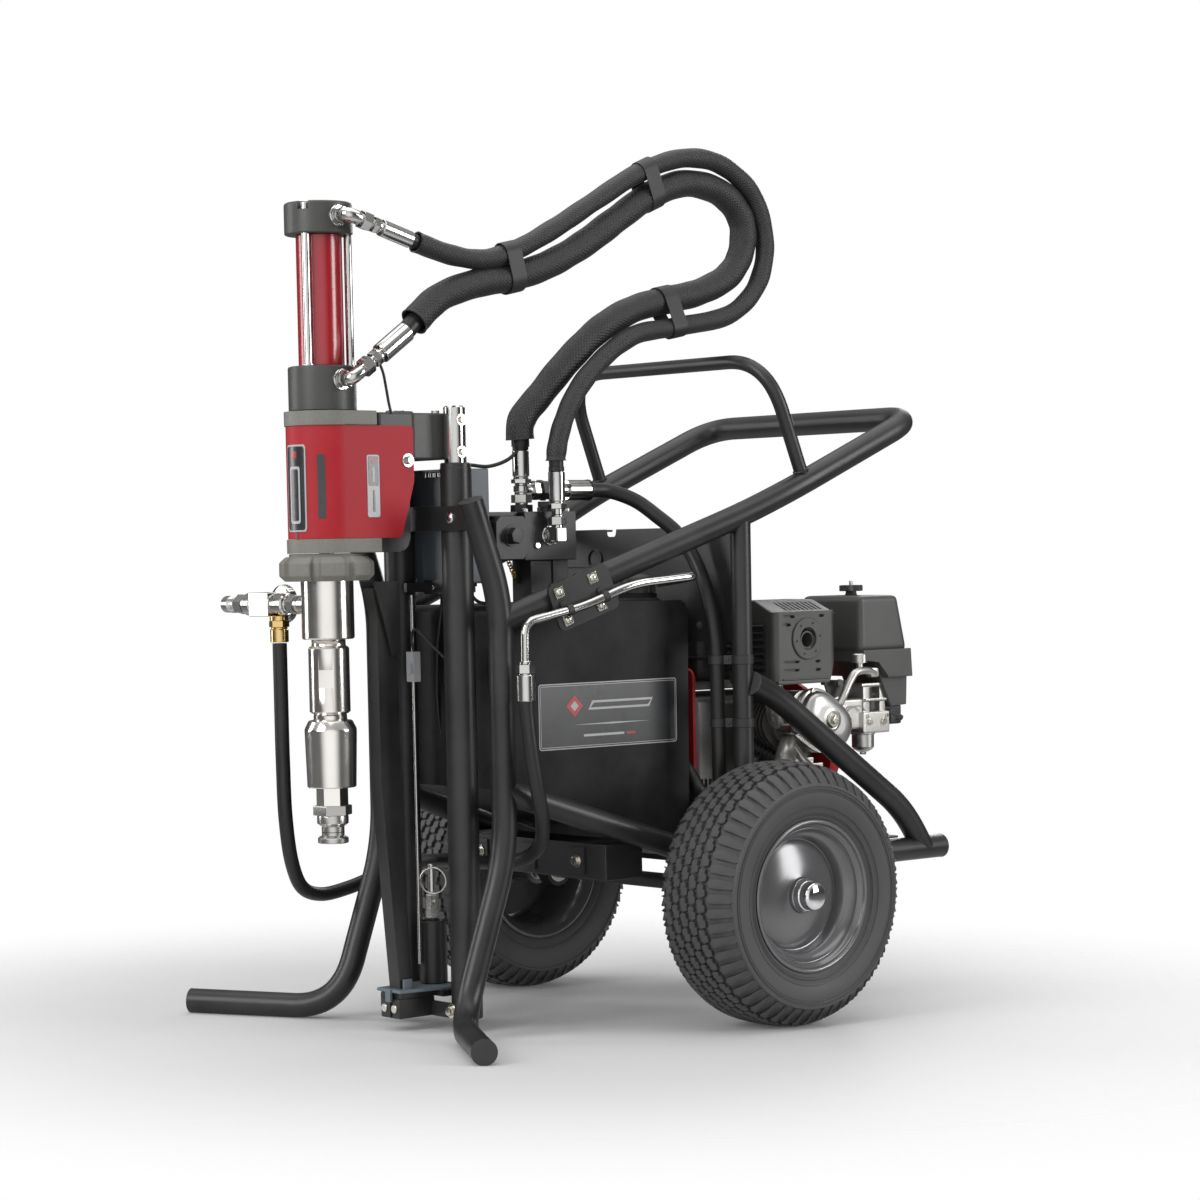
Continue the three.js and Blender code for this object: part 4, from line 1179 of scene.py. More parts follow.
def make_motor():
    cap = Shape()
    cap.lathe([(0, 1004), (48, 1004), (49.8, 1004.8), (50.5, 1006.5), (50.5, 1047.4), (49.2, 1050),
               (47, 1051), (0, 1051)], PUMP, Z, CAST_DARK, 96)
    made = piece("motor_head", cap, "carriage", ["motor_cap"])
    notches = Shape()
    for angle in STUD_ANGLES:
        floor = round_pump(angle, STUD_RING + 1.5, 1039)
        notches.pin(floor, Z, 8.6, 0, 20, CAST_DARK)
        out = round_pump(angle, 1, 0) - round_pump(angle, 0, 0)
        across = Z.cross(out) * 8.6
        notches.slab([floor - across, floor + across, floor + across + out * 20, floor - across + out * 20],
                     Z * 0, Z * 20, CAST_DARK)
    carve(made, notches)
    barrel = Shape()
    barrel.lathe([(25, 812), (33.2, 812), (34, 812.8), (34, 1002.8), (33.2, 1003.6), (25, 1003.6)],
                 PUMP, Z, RED_GLOSS, 96, closed=True)
    piece("motor_tube", barrel, "carriage", ["motor_barrel"])
    base = Shape()
    base.lathe([(11.6, 745.6), (49, 745.6), (50.5, 747), (50.5, 808.6), (49.2, 810.8), (47, 811.6),
                (11.6, 811.6)], PUMP, Z, CAST_DARK, 96, closed=True)
    for angle in STUD_ANGLES:
        stud = round_pump(angle, STUD_RING, 0)
        base.pin(stud, Z, 6.2, 810, 1004, CHROME, 36)
        base.lathe([(0, 1039), (6.6, 1039), (6.6, 1047), (5.6, 1048.6), (0, 1048.6)], stud, Z, CHROME, 28)
        base.pin(stud, Z, 8.4, 811, 813.4, STEEL, 28)
    piece("motor_foot", base, "carriage", ["motor_base"])


def elbow(label, port_z, start, ferrule):
    """Forged elbow from a motor port to the crimped end of its hose, which begins at start."""
    port, corner, start = Vector((0, PUMP_Y, port_z)), Vector((75, PUMP_Y, port_z)), Vector(start)
    away = (start - corner).normalized()
    turn = corner + away * 13
    shape = Shape()
    shape.chain(port + X * 50.6, X, [("hex", 27, 4, CHROME), (9.8, 4, CHROME)])
    shape.chain(port + X * 44, X, [(15.6, 8.6, CHROME)])
    shape.curve([port + X * 57, port + X * 66, corner - X * 2 + away * 3, turn, turn + away * 6], 10.4,
                CHROME, 32, 6)
    shape.hexagon(port + X * 61, X, 21, 9, CHROME, bevel=1.4)
    rest = (start - corner).length - 19
    shape.chain(turn + away * 5, away, [
        (8.6, rest * 0.06, CHROME), ("hex", 25, rest * 0.17, CHROME), (7.8, rest * 0.06, CHROME),
        ("hex", 22, rest * 0.1, CHROME), (ferrule * 0.82, rest * 0.04, CHROME),
        (8.4, rest * 0.04, CHROME), (ferrule, rest * 0.5 + 9, CHROME)])
    piece(f"motor_port_{label}", shape, "carriage", [f"motor_elbow_{label}"])


def make_motor_ports():
    elbow("upper", 1029, PRESSURE_ROUTE[0], 12.6)
    elbow("lower", 790, RETURN_ROUTE[0], 15.4)
    cable = Shape()
    cable.curve([(60, -548, 815), (59, -541, 800), (56, -534, 778), (54, -528, 755), (54, -524, 741)], 2.1,
                WIRE, 12)
    piece("motor_sensor_lead", cable, "carriage")


# ------------------------------------------------------------------ yoke, cover and carriage
def yoke_ring(shape, low, high, back):
    """Flat casting, round in front and square at back behind the pump's axis."""
    outline = [(YOKE_R, back), (-YOKE_R, back)] + arc2(0, 0, YOKE_R, 180, 360, 48)
    shape.prism(outline, (0, PUMP_Y, low), X, Y, high - low, CAST_GREY, bevel=1.8, segments=3)


def flap_back(z):
    """Rear edge of the cover's flaps: upright, then tapering forwards below the kink."""
    corner, kink = 7.0, 640
    y = -486.0 if z >= kink else -486 - 25 * (kink - z) / (kink - COVER_LOW)
    for edge in (COVER_HIGH - z, z - COVER_LOW):
        if edge < corner:
            y -= corner - math.sqrt(max(0.0, corner ** 2 - (corner - edge) ** 2))
    return y


def cover_sheet(material):
    """Sheet bent round the yoke's front, open at the back, with a flap down each side."""
    shape = Shape()
    thick = 2.0
    rows = [COVER_LOW + t for t in (0, 0.7, 2, 4, 7)]
    rows += [COVER_LOW + 7 + (COVER_HIGH - COVER_LOW - 14) * i / 22 for i in range(1, 23)]
    rows += [COVER_HIGH - t for t in (4, 2, 0.7, 0)]
    grid = []
    for z in rows:
        back = flap_back(z)
        outer = [Vector((COVER_R, back + (PUMP_Y - back) * t / 6, z)) for t in range(6)]
        outer += [round_pump(-3.75 * i, COVER_R, z) for i in range(49)]
        outer += [Vector((-COVER_R, back + (PUMP_Y - back) * t / 6, z)) for t in range(5, -1, -1)]
        slim = 1 - thick / COVER_R
        inner = [Vector((p.x - math.copysign(thick, p.x), p.y, z)) if p.y > PUMP_Y
                 else Vector((p.x * slim, PUMP_Y + (p.y - PUMP_Y) * slim, z)) for p in outer]
        grid.append([[shape.bm.verts.new(spot) for spot in line] for line in (outer, inner)])
    faces = []
    for low, high in zip(grid, grid[1:]):
        for side in (0, 1):
            for i in range(len(low[0]) - 1):
                faces.append(shape.bm.faces.new((low[side][i], low[side][i + 1], high[side][i + 1],
                                                 high[side][i])))
        for i in (0, -1):
            faces.append(shape.bm.faces.new((low[0][i], low[1][i], high[1][i], high[0][i])))
    for outer, inner in (grid[0], grid[-1]):
        for i in range(len(outer) - 1):
            faces.append(shape.bm.faces.new((outer[i], outer[i + 1], inner[i + 1], inner[i])))
    shape.paint(faces, material)
    return shape


def wrapped(shape, start, end, low, high, radius, thick, corner, material):
    """Plate with round corners, curved round the pump's axis between two azimuths."""
    count = max(8, round((end - start) / 2.0))
    spread = math.radians(end - start) * radius
    outer, edge_cut = radius + thick, min(0.5, thick * 0.5)
    lines = []
    for i in range(count + 1):
        along, cut = spread * i / count, 0.0
        for edge in (along, spread - along):
            if edge < corner:
                cut = corner - math.sqrt(max(0.0, corner ** 2 - (corner - edge) ** 2))
        z0, z1 = low + cut, high - cut
        section = [(radius, z0), (outer - edge_cut, z0), (outer, z0 + edge_cut), (outer, z1 - edge_cut),
                   (outer - edge_cut, z1), (radius, z1)]
        angle = start + (end - start) * i / count
        lines.append([shape.bm.verts.new(round_pump(angle, r, z)) for r, z in section])
    shape.skin(lines, material)


def make_yoke():
    rings = Shape()
    yoke_ring(rings, 724, 745.2, 56)
    yoke_ring(rings, 536, 557, 60)
    for x, dy in ((-40, 22), (40, 22), (0, -40)):
        rings.chain((x, PUMP_Y + dy, 556), Z, [(10, 169, CAST_GREY)])
    piece("yoke_rings", rings, "carriage", ["yoke_casting"])
    piece("yoke_cover_sheet", cover_sheet(RED), "carriage", ["yoke_cover"], sharp=30.0)
    trim = Shape()
    for start, end, low, high, lift, thick, corner, paint in (
        (-105, -64, 568, 696, -0.2, 1.5, 4.0, PLATE_SILVER),
        (-102.6, -66.4, 570.6, 693.4, 1.0, 0.9, 3.0, PLATE_BLACK),
        (-90, -79, 676, 686, 1.6, 0.7, 3.0, PLATE_RED),
        (-95, -74, 580, 664, 1.6, 0.6, 3.0, PLATE_SILVER),
        (-92, -77, 584, 660, 1.9, 0.6, 2.0, PLATE_BLACK),
        (-46, -34, 587, 681, -0.1, 0.5, 1.5, PLATE_BLACK),
        (-85.5, -81.5, COVER_LOW - 0.1, 584, -0.2, 0.5, 1.0, PLATE_BLACK),
    ):
        wrapped(trim, start, end, low, high, COVER_R + lift, thick, corner, paint)
    for outline, lift, thick, bevel, paint in (
        (rounded(-11, -46, 11, 46, 3.0), -0.1, 1.4, 0.5, PLATE_SILVER),
        (rounded(-9, 0.5, 9, 44, 2.0), 1.2, 0.6, 0.2, PLATE_BLACK),
        (rounded(-1.6, -38, 1.6, -6, 0.8), 1.3, 0.7, 0.15, PLATE_BLACK),
        (rounded(-1.6, 6, 1.6, 28, 0.8), 1.3, 0.7, 0.15, PLATE_SILVER),
        (rounded(-3.2, 33, 3.2, 39, 2.4), 1.3, 0.9, 0.2, PLATE_RED),
    ):
        trim.prism(outline, (COVER_R + lift, -562, 634), Y, Z, thick, paint, bevel, both=False)
    for side in (1, -1):
        trim.bolt((side * (COVER_R - 0.1), -497, 672), X * side, 11, STEEL, height=7)
    piece("yoke_cover_trim", trim, "carriage")
    arm = Shape()
    web = [(-555, 557.4), (-549, 536), *arc2(-503, 556, 20, 270, 360, 8), (-483, 600), (-483, 742),
           (-555, 742)]
    arm.prism(web, (-40, 0, 0), Y, Z, 80, CAST_DARK, bevel=2.2, segments=3)
    arm.box((-54, -548, 676), (54, -482, 743.4), CAST_DARK, bevel=5.0, segments=4)
    arm.box((-56, -486, 674), (56, -404, 743), CAST_DARK, bevel=3.5, segments=4)
    arm.lathe([(0, 742), (22, 742), (22, 745.6), (20.6, 747.2), (0, 747.2)], (0, -470, 0), Z, CAST_DARK, 48)
    arm.socket((0, -470, 747), Z, 8, 2.0, STEEL)
    for x in (-38, 38):
        arm.socket((x, -430, 742.6), Z, 6.5, 5, STEEL)
    piece("carriage_bracket", arm, "carriage", ["carriage_arm"])


def castle_outline(inset):
    """Outline of the slotted ring nut: wide lobes parted by narrow recesses."""
    lobes, steps = 8, 26
    lobe = 2 * math.pi * CASTLE_R / lobes
    spots = []
    for i in range(lobes * steps):
        share = (i % steps) / steps - 0.5
        recess = max(0.0, min(1.0, (abs(share) * lobe - lobe / 2 + 9.0) / 3.2))
        radius = CASTLE_R - inset * (1 - recess * 0.45) - 9.0 * recess
        angle = math.radians(360 / lobes * (i // steps + share) - 72)
        spots.append((radius * math.cos(angle), PUMP_Y + radius * math.sin(angle)))
    return spots


def make_castle_nut():
    shape = Shape()
    levels = [(495, 9.0), (495.4, 8.0), (500.5, 2.4), (502.5, 0.5), (504, 0.0), (521, 0.0), (522.5, 0.5),
              (524.5, 2.2), (530, 8.4), (531, 10), (531.4, 12)]
    shape.skin([[shape.bm.verts.new((x, y, z)) for x, y in castle_outline(inset)] for z, inset in levels],
               CAST_GREY)
    shape.lathe([(0, 530), (55.5, 530), (55.5, 534.6), (54.5, 535.6), (0, 535.6)], PUMP, Z, CAST_GREY, 64)
    piece("slotted_ring_nut", shape, "carriage", ["castle_nut"], sharp=24.0)


# ------------------------------------------------------------------ fluid section and outlet
def make_fluid_section():
    packing = Shape()
    packing.lathe([(0, 408.6), (37, 408.6), (39.2, 410.8), (39.2, 524), (0, 524)], PUMP, Z, NICKEL, 96)
    piece("packing_cylinder", packing, "carriage", ["fluid_section"])
    barrel = Shape()
    barrel.lathe([(0, 294), (24.6, 294), (24.6, 297.4), (27, 298), (30.5, 301), (30.5, 394.6), (28.4, 397.4),
                  (26.6, 398), (25.4, 399.5), (25.4, 409), (0, 409)], PUMP, Z, NICKEL, 96)
    made = piece("pump_cylinder", barrel, "carriage")
    cutter = Shape()
    for angle in (-45, 135):
        centre = round_pump(angle, 28.3 + 20, 350)
        out = (round_pump(angle, 1, 0) - round_pump(angle, 0, 0)).normalized()
        across = Z.cross(out)
        corners = [centre + out * o + across * a for o, a in ((-20, -11.5), (20, -11.5), (20, 11.5),
                                                              (-20, 11.5))]
        cutter.slab(corners, Z * -13.5, Z * 13.5, NICKEL)
    carve(made, cutter)
    foot = Shape()
    foot.lathe([(0, 187.6), (35, 187.6), (36.6, 189.2), (39, 272), (38.6, 275.5), (33.4, 286), (31.5, 287.6),
                (26, 288.4), (25, 289.4), (25, 295), (0, 295)], PUMP, Z, NICKEL, 96)
    foot.hexagon((0, PUMP_Y, 160), Z, 41, 28, NICKEL, bevel=1.0, turn=8)
    piece("foot_valve_housing", foot, "carriage")
    coupling = Shape()
    coupling.hexagon((0, PUMP_Y, 146), Z, 51, 14.6, STEEL, bevel=1.6, turn=20)
    coupling.lathe([(0, 160), (20.5, 160), (20.5, 164), (18.5, 166.5), (0, 166.5)], PUMP, Z, STEEL, 56)
    coupling.lathe([
        (17, 104), (21.6, 104), (23, 105.2), (23, 111.4), (21.8, 113), (17.4, 115.2), (15, 118.6),
        (14.5, 122),
        (15.2, 126), (18, 130), (22, 132.4), (23.6, 134), (23.6, 143.6), (22.6, 146.5), (17, 146.5),
    ], PUMP, Z, STEEL, 80, closed=True)
    # Dark disc across the bore: painted shade inside the suction coupling.
    coupling.pin(PUMP, Z, 17.1, 120, 121, PAINTED_SHADE, 48)
    piece("suction_coupling", coupling, "carriage")
    rod = Shape()
    rod.lathe([(0, 245), (11, 245), (11, 826), (24.6, 826), (24.6, 850), (0, 850)], PUMP, Z, CHROME, 64)
    piece("piston_rod_bar", rod, "piston", ["piston_rod"])


def make_outlet():
    valve = Shape()
    axis = -X
    valve.chain((-37, PUMP_Y, OUTLET_Z), axis, [
        (14, 27, CHROME), (10.5, 3, CHROME), (13.4, 6, CHROME),
        (10.5, 4, CHROME), ("hex", 27, 15, STEEL), (10, 4.5, CHROME), (13.5, 4, CHROME)])
    valve.lathe([(0, 0), (15.2, 0), (17.4, 2.2), (17.4, 27), (16.6, 29), (15.4, 30.2), (15.4, 34), (0, 34)],
                (-101, PUMP_Y, OUTLET_Z), axis, CHROME, 56)
    valve.box((-184, PUMP_Y - 17.6, OUTLET_Z - 18.2), (-132.5, PUMP_Y + 17.6, OUTLET_Z + 18.2), CHROME,
              bevel=1.5, segments=3)
    valve.chain((-183, PUMP_Y, OUTLET_Z), axis, [
        (16.2, 4, CHROME), (17.6, 19.5, CHROME), (15, 2.4, CHROME),
        (10.4, 5.6, CHROME), ("hex", 27.4, 18.5, STEEL), (11, 4.5, CHROME),
        (12.9, 12, CHROME), (12.4, 2.6, CHROME), (12.9, 17, CHROME)])
    for n in range(8):
        valve.lathe([(12.6, -0.7), (13.3, 0), (12.6, 0.7)], (-241 - n * 1.5, PUMP_Y, OUTLET_Z), axis, CHROME,
                    40)
    # Dark disc on the outlet's solid end face: painted shade standing in for its open bore.
    valve.pin((-269.9, PUMP_Y, OUTLET_Z), axis, 9.4, 0, 0.3, PAINTED_SHADE)
    valve.chain((-128, PUMP_Y, 443), -Z, [(14.2, 8, BRASS), ("hex", 27, 9.5, BRASS),
                                          (12.6, 3, BRASS), (14, 20, BRASS)])
    piece("outlet_fitting", valve, "carriage", ["outlet_valve"])
    knob = Shape()
    knob.lathe([(0, 0), (24, 0), (28, 1.2), (29, 3), (29, 12), (28.2, 14.2), (26, 15), (20, 15.2), (15, 13.4),
                (0, 13.0)], (-150, PUMP_Y + 17.6, OUTLET_Z), Y, CHROME, 72)
    for x, z in circle(36, 28.9):
        knob.pin((x - 150, PUMP_Y + 22, OUTLET_Z + z), Y, 0.9, 0, 7.4, CHROME, 8)
    knob.socket((-150, PUMP_Y + 30.5, OUTLET_Z), Y, 6, 2.6, STEEL)
    piece("outlet_handwheel", knob, "valve_knob", ["outlet_valve_knob"])


make_motor()
make_motor_ports()
make_yoke()
make_castle_nut()
make_fluid_section()
make_outlet()


# ------------------------------------------------------------------ oil tank and manifold
TANK_HALF = 130
TANK_FRONT = -375
TANK_BACK = -8
FILLER = Vector((70, -60, 0))
LABEL_Y = -175.5
LABEL_Z = 280


def tank_floor(y):
    return 184 - 0.354 * (y - LEG_Y)


def make_tank():
    round_r = 15
    outline = [(TANK_FRONT, tank_floor(TANK_FRONT)), (TANK_BACK, tank_floor(TANK_BACK))]
    outline += arc2(TANK_BACK - round_r, TANK_TOP - round_r, round_r, 0, 90, 6)
    outline += arc2(TANK_FRONT + round_r, TANK_TOP - round_r, round_r, 90, 180, 6)
    shell = Shape()
    shell.prism(outline, (-TANK_HALF, 0, 0), Y, Z, 2 * TANK_HALF, TANK, bevel=7.0, segments=5)
    made = piece("oil_reservoir", shell, replaces=["oil_tank"])
    recess = Shape()
    recess.box((ENGINE_X - 55, -98, ENGINE_Z - 60), (ENGINE_X + 55, 20, ENGINE_Z + 60), TANK)
    carve(made, recess)
    neck = Shape()
    neck.lathe([(0, 451), (36, 451), (36, 453), (33, 455), (30.5, 457), (30.5, 463), (0, 463)], FILLER, Z,
               TANK, 64)
    piece("filler_neck", neck)
    cap = Shape()
    cap.lathe([(0, 462.4), (26, 462.4), (27.4, 464), (27.4, 484), (25.6, 488), (21, 491.5), (14, 493.4),
               (0, 494)], FILLER, Z, PLASTIC, 64)
    for x, y in circle(18, 27.2):
        cap.lathe([(0, 465), (1.7, 465), (1.7, 483), (0, 485)], FILLER + Vector((x, y, 0)), Z, PLASTIC, 10)
    piece("reservoir_cap", cap, "oil_cap", ["tank_cap"])
    make_tank_label()


def make_tank_label():
    """Raised panel with a double silver border, a plain bar and a small lozenge."""
    label = Shape()
    rims = ((0, 5, PLATE_SILVER), (1.5, 4, PLATE_BLACK), (3.4, 3, PLATE_SILVER), (4.3, 2.4, PLATE_BLACK))
    for n, (inset, r, paint) in enumerate(rims):
        label.prism(rounded(-140 + inset, -50.5 + inset, 140 - inset, 50.5 - inset, r),
                    (TANK_HALF - 0.2, LABEL_Y, LABEL_Z), Y, Z, 0.6 + 0.2 * n, paint)
    for outline, lift, y, z, thick, paint in (
        ([(-78, 0), (0, -1.3), (78, 0), (0, 1.3)], 0, 6, -14, 0.4, PLATE_SILVER),
        ([(-17, 0), (0, -17), (17, 0), (0, 17)], 0, -70, 15, 0.6, PLATE_RED),
        ([(-8, 0), (0, -8), (8, 0), (0, 8)], 0.4, -70, 15, 0.5, PLATE_SILVER),
        ([(-66, -7), (58, -7), (66, 7), (-58, 7)], 0, 24, 15, 0.5, PLATE_SILVER),
        ([(-62, -3.6), (55, -3.6), (62, 3.6), (-55, 3.6)], 0.2, 24, 15, 0.5, PLATE_BLACK),
        (rounded(-52, -1.8, 30, 1.8, 1.6), 0, 0, -31, 0.4, PLATE_SILVER),
        (rounded(-9, -1.8, 9, 1.8, 1.6), 0, 44, -31, 0.4, PLATE_RED),
    ):
        label.prism(outline, (TANK_HALF + 0.9 + lift, LABEL_Y + y, LABEL_Z + z), Y, Z, thick, paint)
    piece("reservoir_label", label)


def make_manifold():
    block = Shape()
    block.box((12, -291, 519), (75, -188, 594), CAST_BLACK, bevel=1.6, segments=3)
    cut, y0, y1, z0, z1 = 9, -349, -287, 521, 587
    outline = [(y0 + cut, z0), (y1 - cut, z0), (y1, z0 + cut), (y1, z1 - cut), (y1 - cut, z1), (y0 + cut, z1),
               (y0, z1 - cut), (y0, z0 + cut)]
    block.prism(outline, (15, 0, 0), Y, Z, 63, CAST_BLACK, bevel=1.2)
    block.box((10, -353, 587), (62, -294, 594), CAST_BLACK, bevel=1.0)
    block.box((22, -275, TANK_TOP + 0.5), (68, -200, 520), CAST_BLACK, bevel=1.5)
    block.box((67, -233, TANK_TOP + 0.5), (71, -227, 519.4), CAST_BLACK, bevel=1.0)
    block.box((34, -280, 484), (42, -256, 519), SHEET_BLACK, bevel=0.8)
    block.lathe([(13, 0), (16.4, 0), (16.4, 1.2), (15.8, 1.8), (13, 1.8)], (77.8, -320, 557), X, CAST_BLACK,
                56, closed=True)
    block.disc((75, -268, 541.7), X, 4.8, 4.5, CHROME, bevel=1.0)
    block.chain((45, -222, 593.8), Z, [(15, 7, CAST_BLACK), ("hex", 24, 9, CAST_BLACK)])
    for y in (-281, -198):
        block.socket((64, y, 594), Z, 5.5, 5, STEEL)
    piece("manifold_body", block, replaces=["manifold_block"])
    riser = Shape()
    riser.chain((45, -272, 593.8), Z, [
        ("hex", 30, 11, CAST_BLACK), (10, 3, CHROME), ("hex", 28, 12.5, STEEL), (10.6, 4, CHROME),
        (12, 10, CHROME), (10, 3.5, CHROME), ("hex", 27, 6.5, CHROME), (12.2, 2.5, CHROME),
        (11.2, 1.4, CHROME), (13, 40, CHROME), (12.4, 9, HOSE)])
    riser.chain((45, -272, 627), Y, [
        (11.4, 14, CHROME), (9.6, 4, CHROME), ("hex", 27, 12, CHROME), (9, 4, CHROME),
        ("hex", 29, 11, CAST_BLACK), (10, 3, CHROME), ("hex", 26, 10, CHROME), (11, 12, CHROME),
        (12.6, 6, CHROME), (11, 12, CHROME), (16, 43, CHROME),
        (16.8, 4.5, HOSE)])
    piece("return_fittings", riser)
    feed = Shape()
    feed.chain((75, -243, 557), X, [(14.5, 2.4, CHROME), ("hex", 25, 3.2, CHROME),
                                    (11.6, 2, CHROME), ("hex", 24, 4, STEEL)])
    feed.box((85.6, -254, 546), (107, -232.5, 569), CHROME, bevel=3.2, segments=4)
    feed.hexahedron([(85, -251, 548), (96, -254, 545), (96, -232, 545), (85, -235, 548), (85, -251, 566),
                     (96, -254, 568), (96, -232, 568), (85, -235, 566)], CHROME, bevel=1.6)
    feed.chain((96, -243, 568), Z, [
        (8.6, 5, CHROME), ("hex", 24.5, 12, STEEL), (9.6, 3.5, CHROME), (8.4, 9, CHROME),
        ("hex", 25.5, 8, CHROME), (12, 2.4, CHROME), (11.2, 1.4, CHROME),
        (12.9, 45, CHROME), (12.1, 8, HOSE)])
    piece("pressure_fittings", feed)
    dial = Shape()
    dial.lathe([(0, 0), (12.6, 0), (12.6, 3), (11.6, 4), (0, 4)], (78.2, -320, 557), X, CAST_BLACK, 48)
    dial.hexagon((81, -320, 557), X, 21.5, 13.5, CAST_BLACK, bevel=1.6)
    piece("pressure_adjuster", dial, "pressure_dial", ["pressure_knob"])
    chain = Shape()
    for n in range(6):
        centre = Vector((41 + n, -297 + n * 1.3, 518 - n * 4.4))
        chain.sweep(ring_path(centre, X if n % 2 else Y, 3.2, steps=18), 1.1, BRASS, sides=8, caps=False)
    piece("plug_chain", chain)


def make_control_box():
    box = Shape()
    box.box((-72, -393, 486), (68, -353, 660), BOX_GREY, bevel=3.0, segments=4)
    box.box((-72.6, -396, 485.4), (68.6, -391, 660.6), BOX_GREY, bevel=1.8, segments=3)
    box.box((68, -386, 560), (69.4, -360, 600), PLATE_BLACK, bevel=0.5)
    for x in (-65, 61):
        for z in (493, 653):
            box.dome((x, -396, z), -Y, 3.4, 2.0, STEEL)
    for x in (-28, 8, 44):
        box.chain((x, -374, 486.2), -Z, [("hex", 17, 5, PLASTIC), (7.4, 9, PLASTIC)])
    piece("control_housing", box, replaces=["control_box"])
    leads = Shape()
    leads.curve([(50, -262, 716), (51, -272, 700), (48, -296, 676), (38, -330, 664), (24, -360, 666),
                        (14, -372, 660)], 2.9, WIRE, 14)
    leads.curve([(-28, -374, 474), (-28, -374, 462), (-24, -378, 450), (-30, -384, 380), (-40, -372, 250),
                        (-30, -330, 140)], 3.2, WIRE, 14)
    leads.curve([(44, -374, 474), (46, -372, 466), (52, -366, 458), (66, -360, 455), (80, -340, 454)], 2.6,
                WIRE, 14)
    leads.sweep(ring_path((-122, 15.4, 517), Y, 16.5, steps=48), 1.3, WIRE, sides=10, caps=False)
    leads.box((-196, 10, 505), (-70, 18, 508.6), SHEET_BLACK, bevel=0.8)
    piece("control_leads", leads)


# ------------------------------------------------------------------ outlet pipe and its clamp
def make_outlet_pipe():
    path = bent(OUTLET_ROUTE, [20, 30, 30, 22], step=2.0)
    pipe = Shape()
    pipe.sweep(path, 6.8, CHROME, sides=32)
    pipe.chain((201, -397, 311), Z, [
        (14.6, 39, CHROME), (11, 2.6, CHROME), ("hex", 25, 13, CHROME), (9.4, 5, CHROME)])
    piece("outlet_tube", pipe, replaces=["outlet_pipe"])
    a, b = Vector((LEG_X, LEG_Y, 430)), Vector((229, 30, 587))
    along = (b - a).normalized()
    out = Vector((along.y, -along.x, 0)).normalized()
    up = out.cross(along)
    centre = a.lerp(b, (-273 - a.y) / (b.y - a.y)) + out * (TUBE_R + 0.4) - up * 13 - along * 8
    clamp = Shape()
    clamp.prism(rounded(-55, -36, 55, 36, 9), centre, along, up, 5, SHEET_BLACK, bevel=0.8)
    normal = along.cross(up).normalized()
    face = centre + normal * 5
    for s in (-38, 24):
        for t in (-22, 22):
            spot = face + along * s + up * t
            clamp.prism(rounded(-8, -8, 8, 8, 1.5), spot, along, up, 1.8, ZINC, bevel=0.4)
            clamp.dome(spot + normal * 1.6, normal, 5.8, 4.6, ZINC)
        near = min(path, key=lambda p: abs((p - face).dot(along) - s) + (0 if p.y < -180 else 900))
        nearby = path[path.index(near) + 1] - near
        clamp.collar(near, nearby, 6.9, 8.8, -4.5, 4.5, STRAP, 40)
        foot = near - normal * ((near - face).dot(normal))
        clamp.prism(rounded(-5.5, -14, 5.5, 14, 3), foot, along, up, 3, STRAP, bevel=0.6)
        middle = near - normal * 7.6
        clamp.sweep([foot, middle], 4.2, STRAP, sides=16)
    for s in (-30, 18):
        ring = centre - out * (TUBE_R + 0.4) + up * 13 + along * s
        clamp.collar(ring, along, TUBE_R - 0.2, TUBE_R + 1.3, -6, 6, STRAP, taper=0.5)
    piece("clamp_plate", clamp, replaces=["pipe_clamp"])


def make_hose_clips():
    clips = Shape()
    route = smooth(TANK_ROUTE, 10)
    for z in (358, 259.5):
        near = min(route, key=lambda p: abs(p.z - z))
        post, hose = Vector((227, 18, z)), Vector((near.x, near.y, z))
        clips.collar(post, Z, POST_R - 0.1, POST_R + 1.5, -7, 7, STRAP, taper=0.6)
        clips.collar(hose, Z, 11.4, 13.2, -7, 7, STRAP, 40, taper=0.6)
        link = (post - hose).normalized()
        middle, across = hose + link * 18, Z.cross(link)
        clips.slab([middle + link * u + across * w for u, w in ((-7, -5), (8, -5), (8, 5), (-7, 5))], Z * -7,
                   Z * 7, STRAP, bevel=1.0)
        clips.dome(middle - across * 5, -across, 3, 2, PLUG_BLACK)
    piece("hose_clips", clips)


def make_hydraulic_pump():
    base = (ENGINE_X, 0, ENGINE_Z)
    body = Shape()
    body.lathe([(0, -90), (30, -90), (34, -87), (38, -80), (38, -46), (42, -44), (42, -30), (39, -28),
                (39, -8),
                (42, -6), (42, 8), (36, 10), (36, 26), (41.5, 27.5), (41.5, 30), (0, 30)], base, Y,
                CAST_DARK, 72)
    body.chain((ENGINE_X, 14, ENGINE_Z), X, [(13, 58, CAST_DARK), ("hex", 25, 14, STEEL),
                                             (9, 4, STEEL), (11.6, 6, STEEL)])
    for x, z in circle(6, 35, 30):
        body.bolt((ENGINE_X + x, -44, ENGINE_Z + z), -Y, 8, ZINC, washer=False)
    piece("pump_body", body, replaces=["hydraulic_pump"])
    joint = Shape()
    joint.lathe([(0, 30.6), (14, 30.6), (14, 33), (26, 34), (26, 41), (24.5, 42), (24.5, 44), (26, 45),
                 (26, 52), (14, 53), (14, 55.4), (0, 55.4)], base, Y, ALUMINIUM, 60)
    for x, z in circle(6, 24):
        spot = (ENGINE_X + x, 43, ENGINE_Z + z)
        joint.box([c - 2.4 for c in spot], [c + 2.4 for c in spot], PLATE_RED, bevel=0.6)
    piece("shaft_coupling", joint, "crank", ["drive_coupling"])


make_tank()
make_manifold()
make_control_box()
make_outlet_pipe()
make_hose_clips()
make_hydraulic_pump()


# ------------------------------------------------------------------ engine
HEAD = (234, 252)
HEAD_TILT = -32


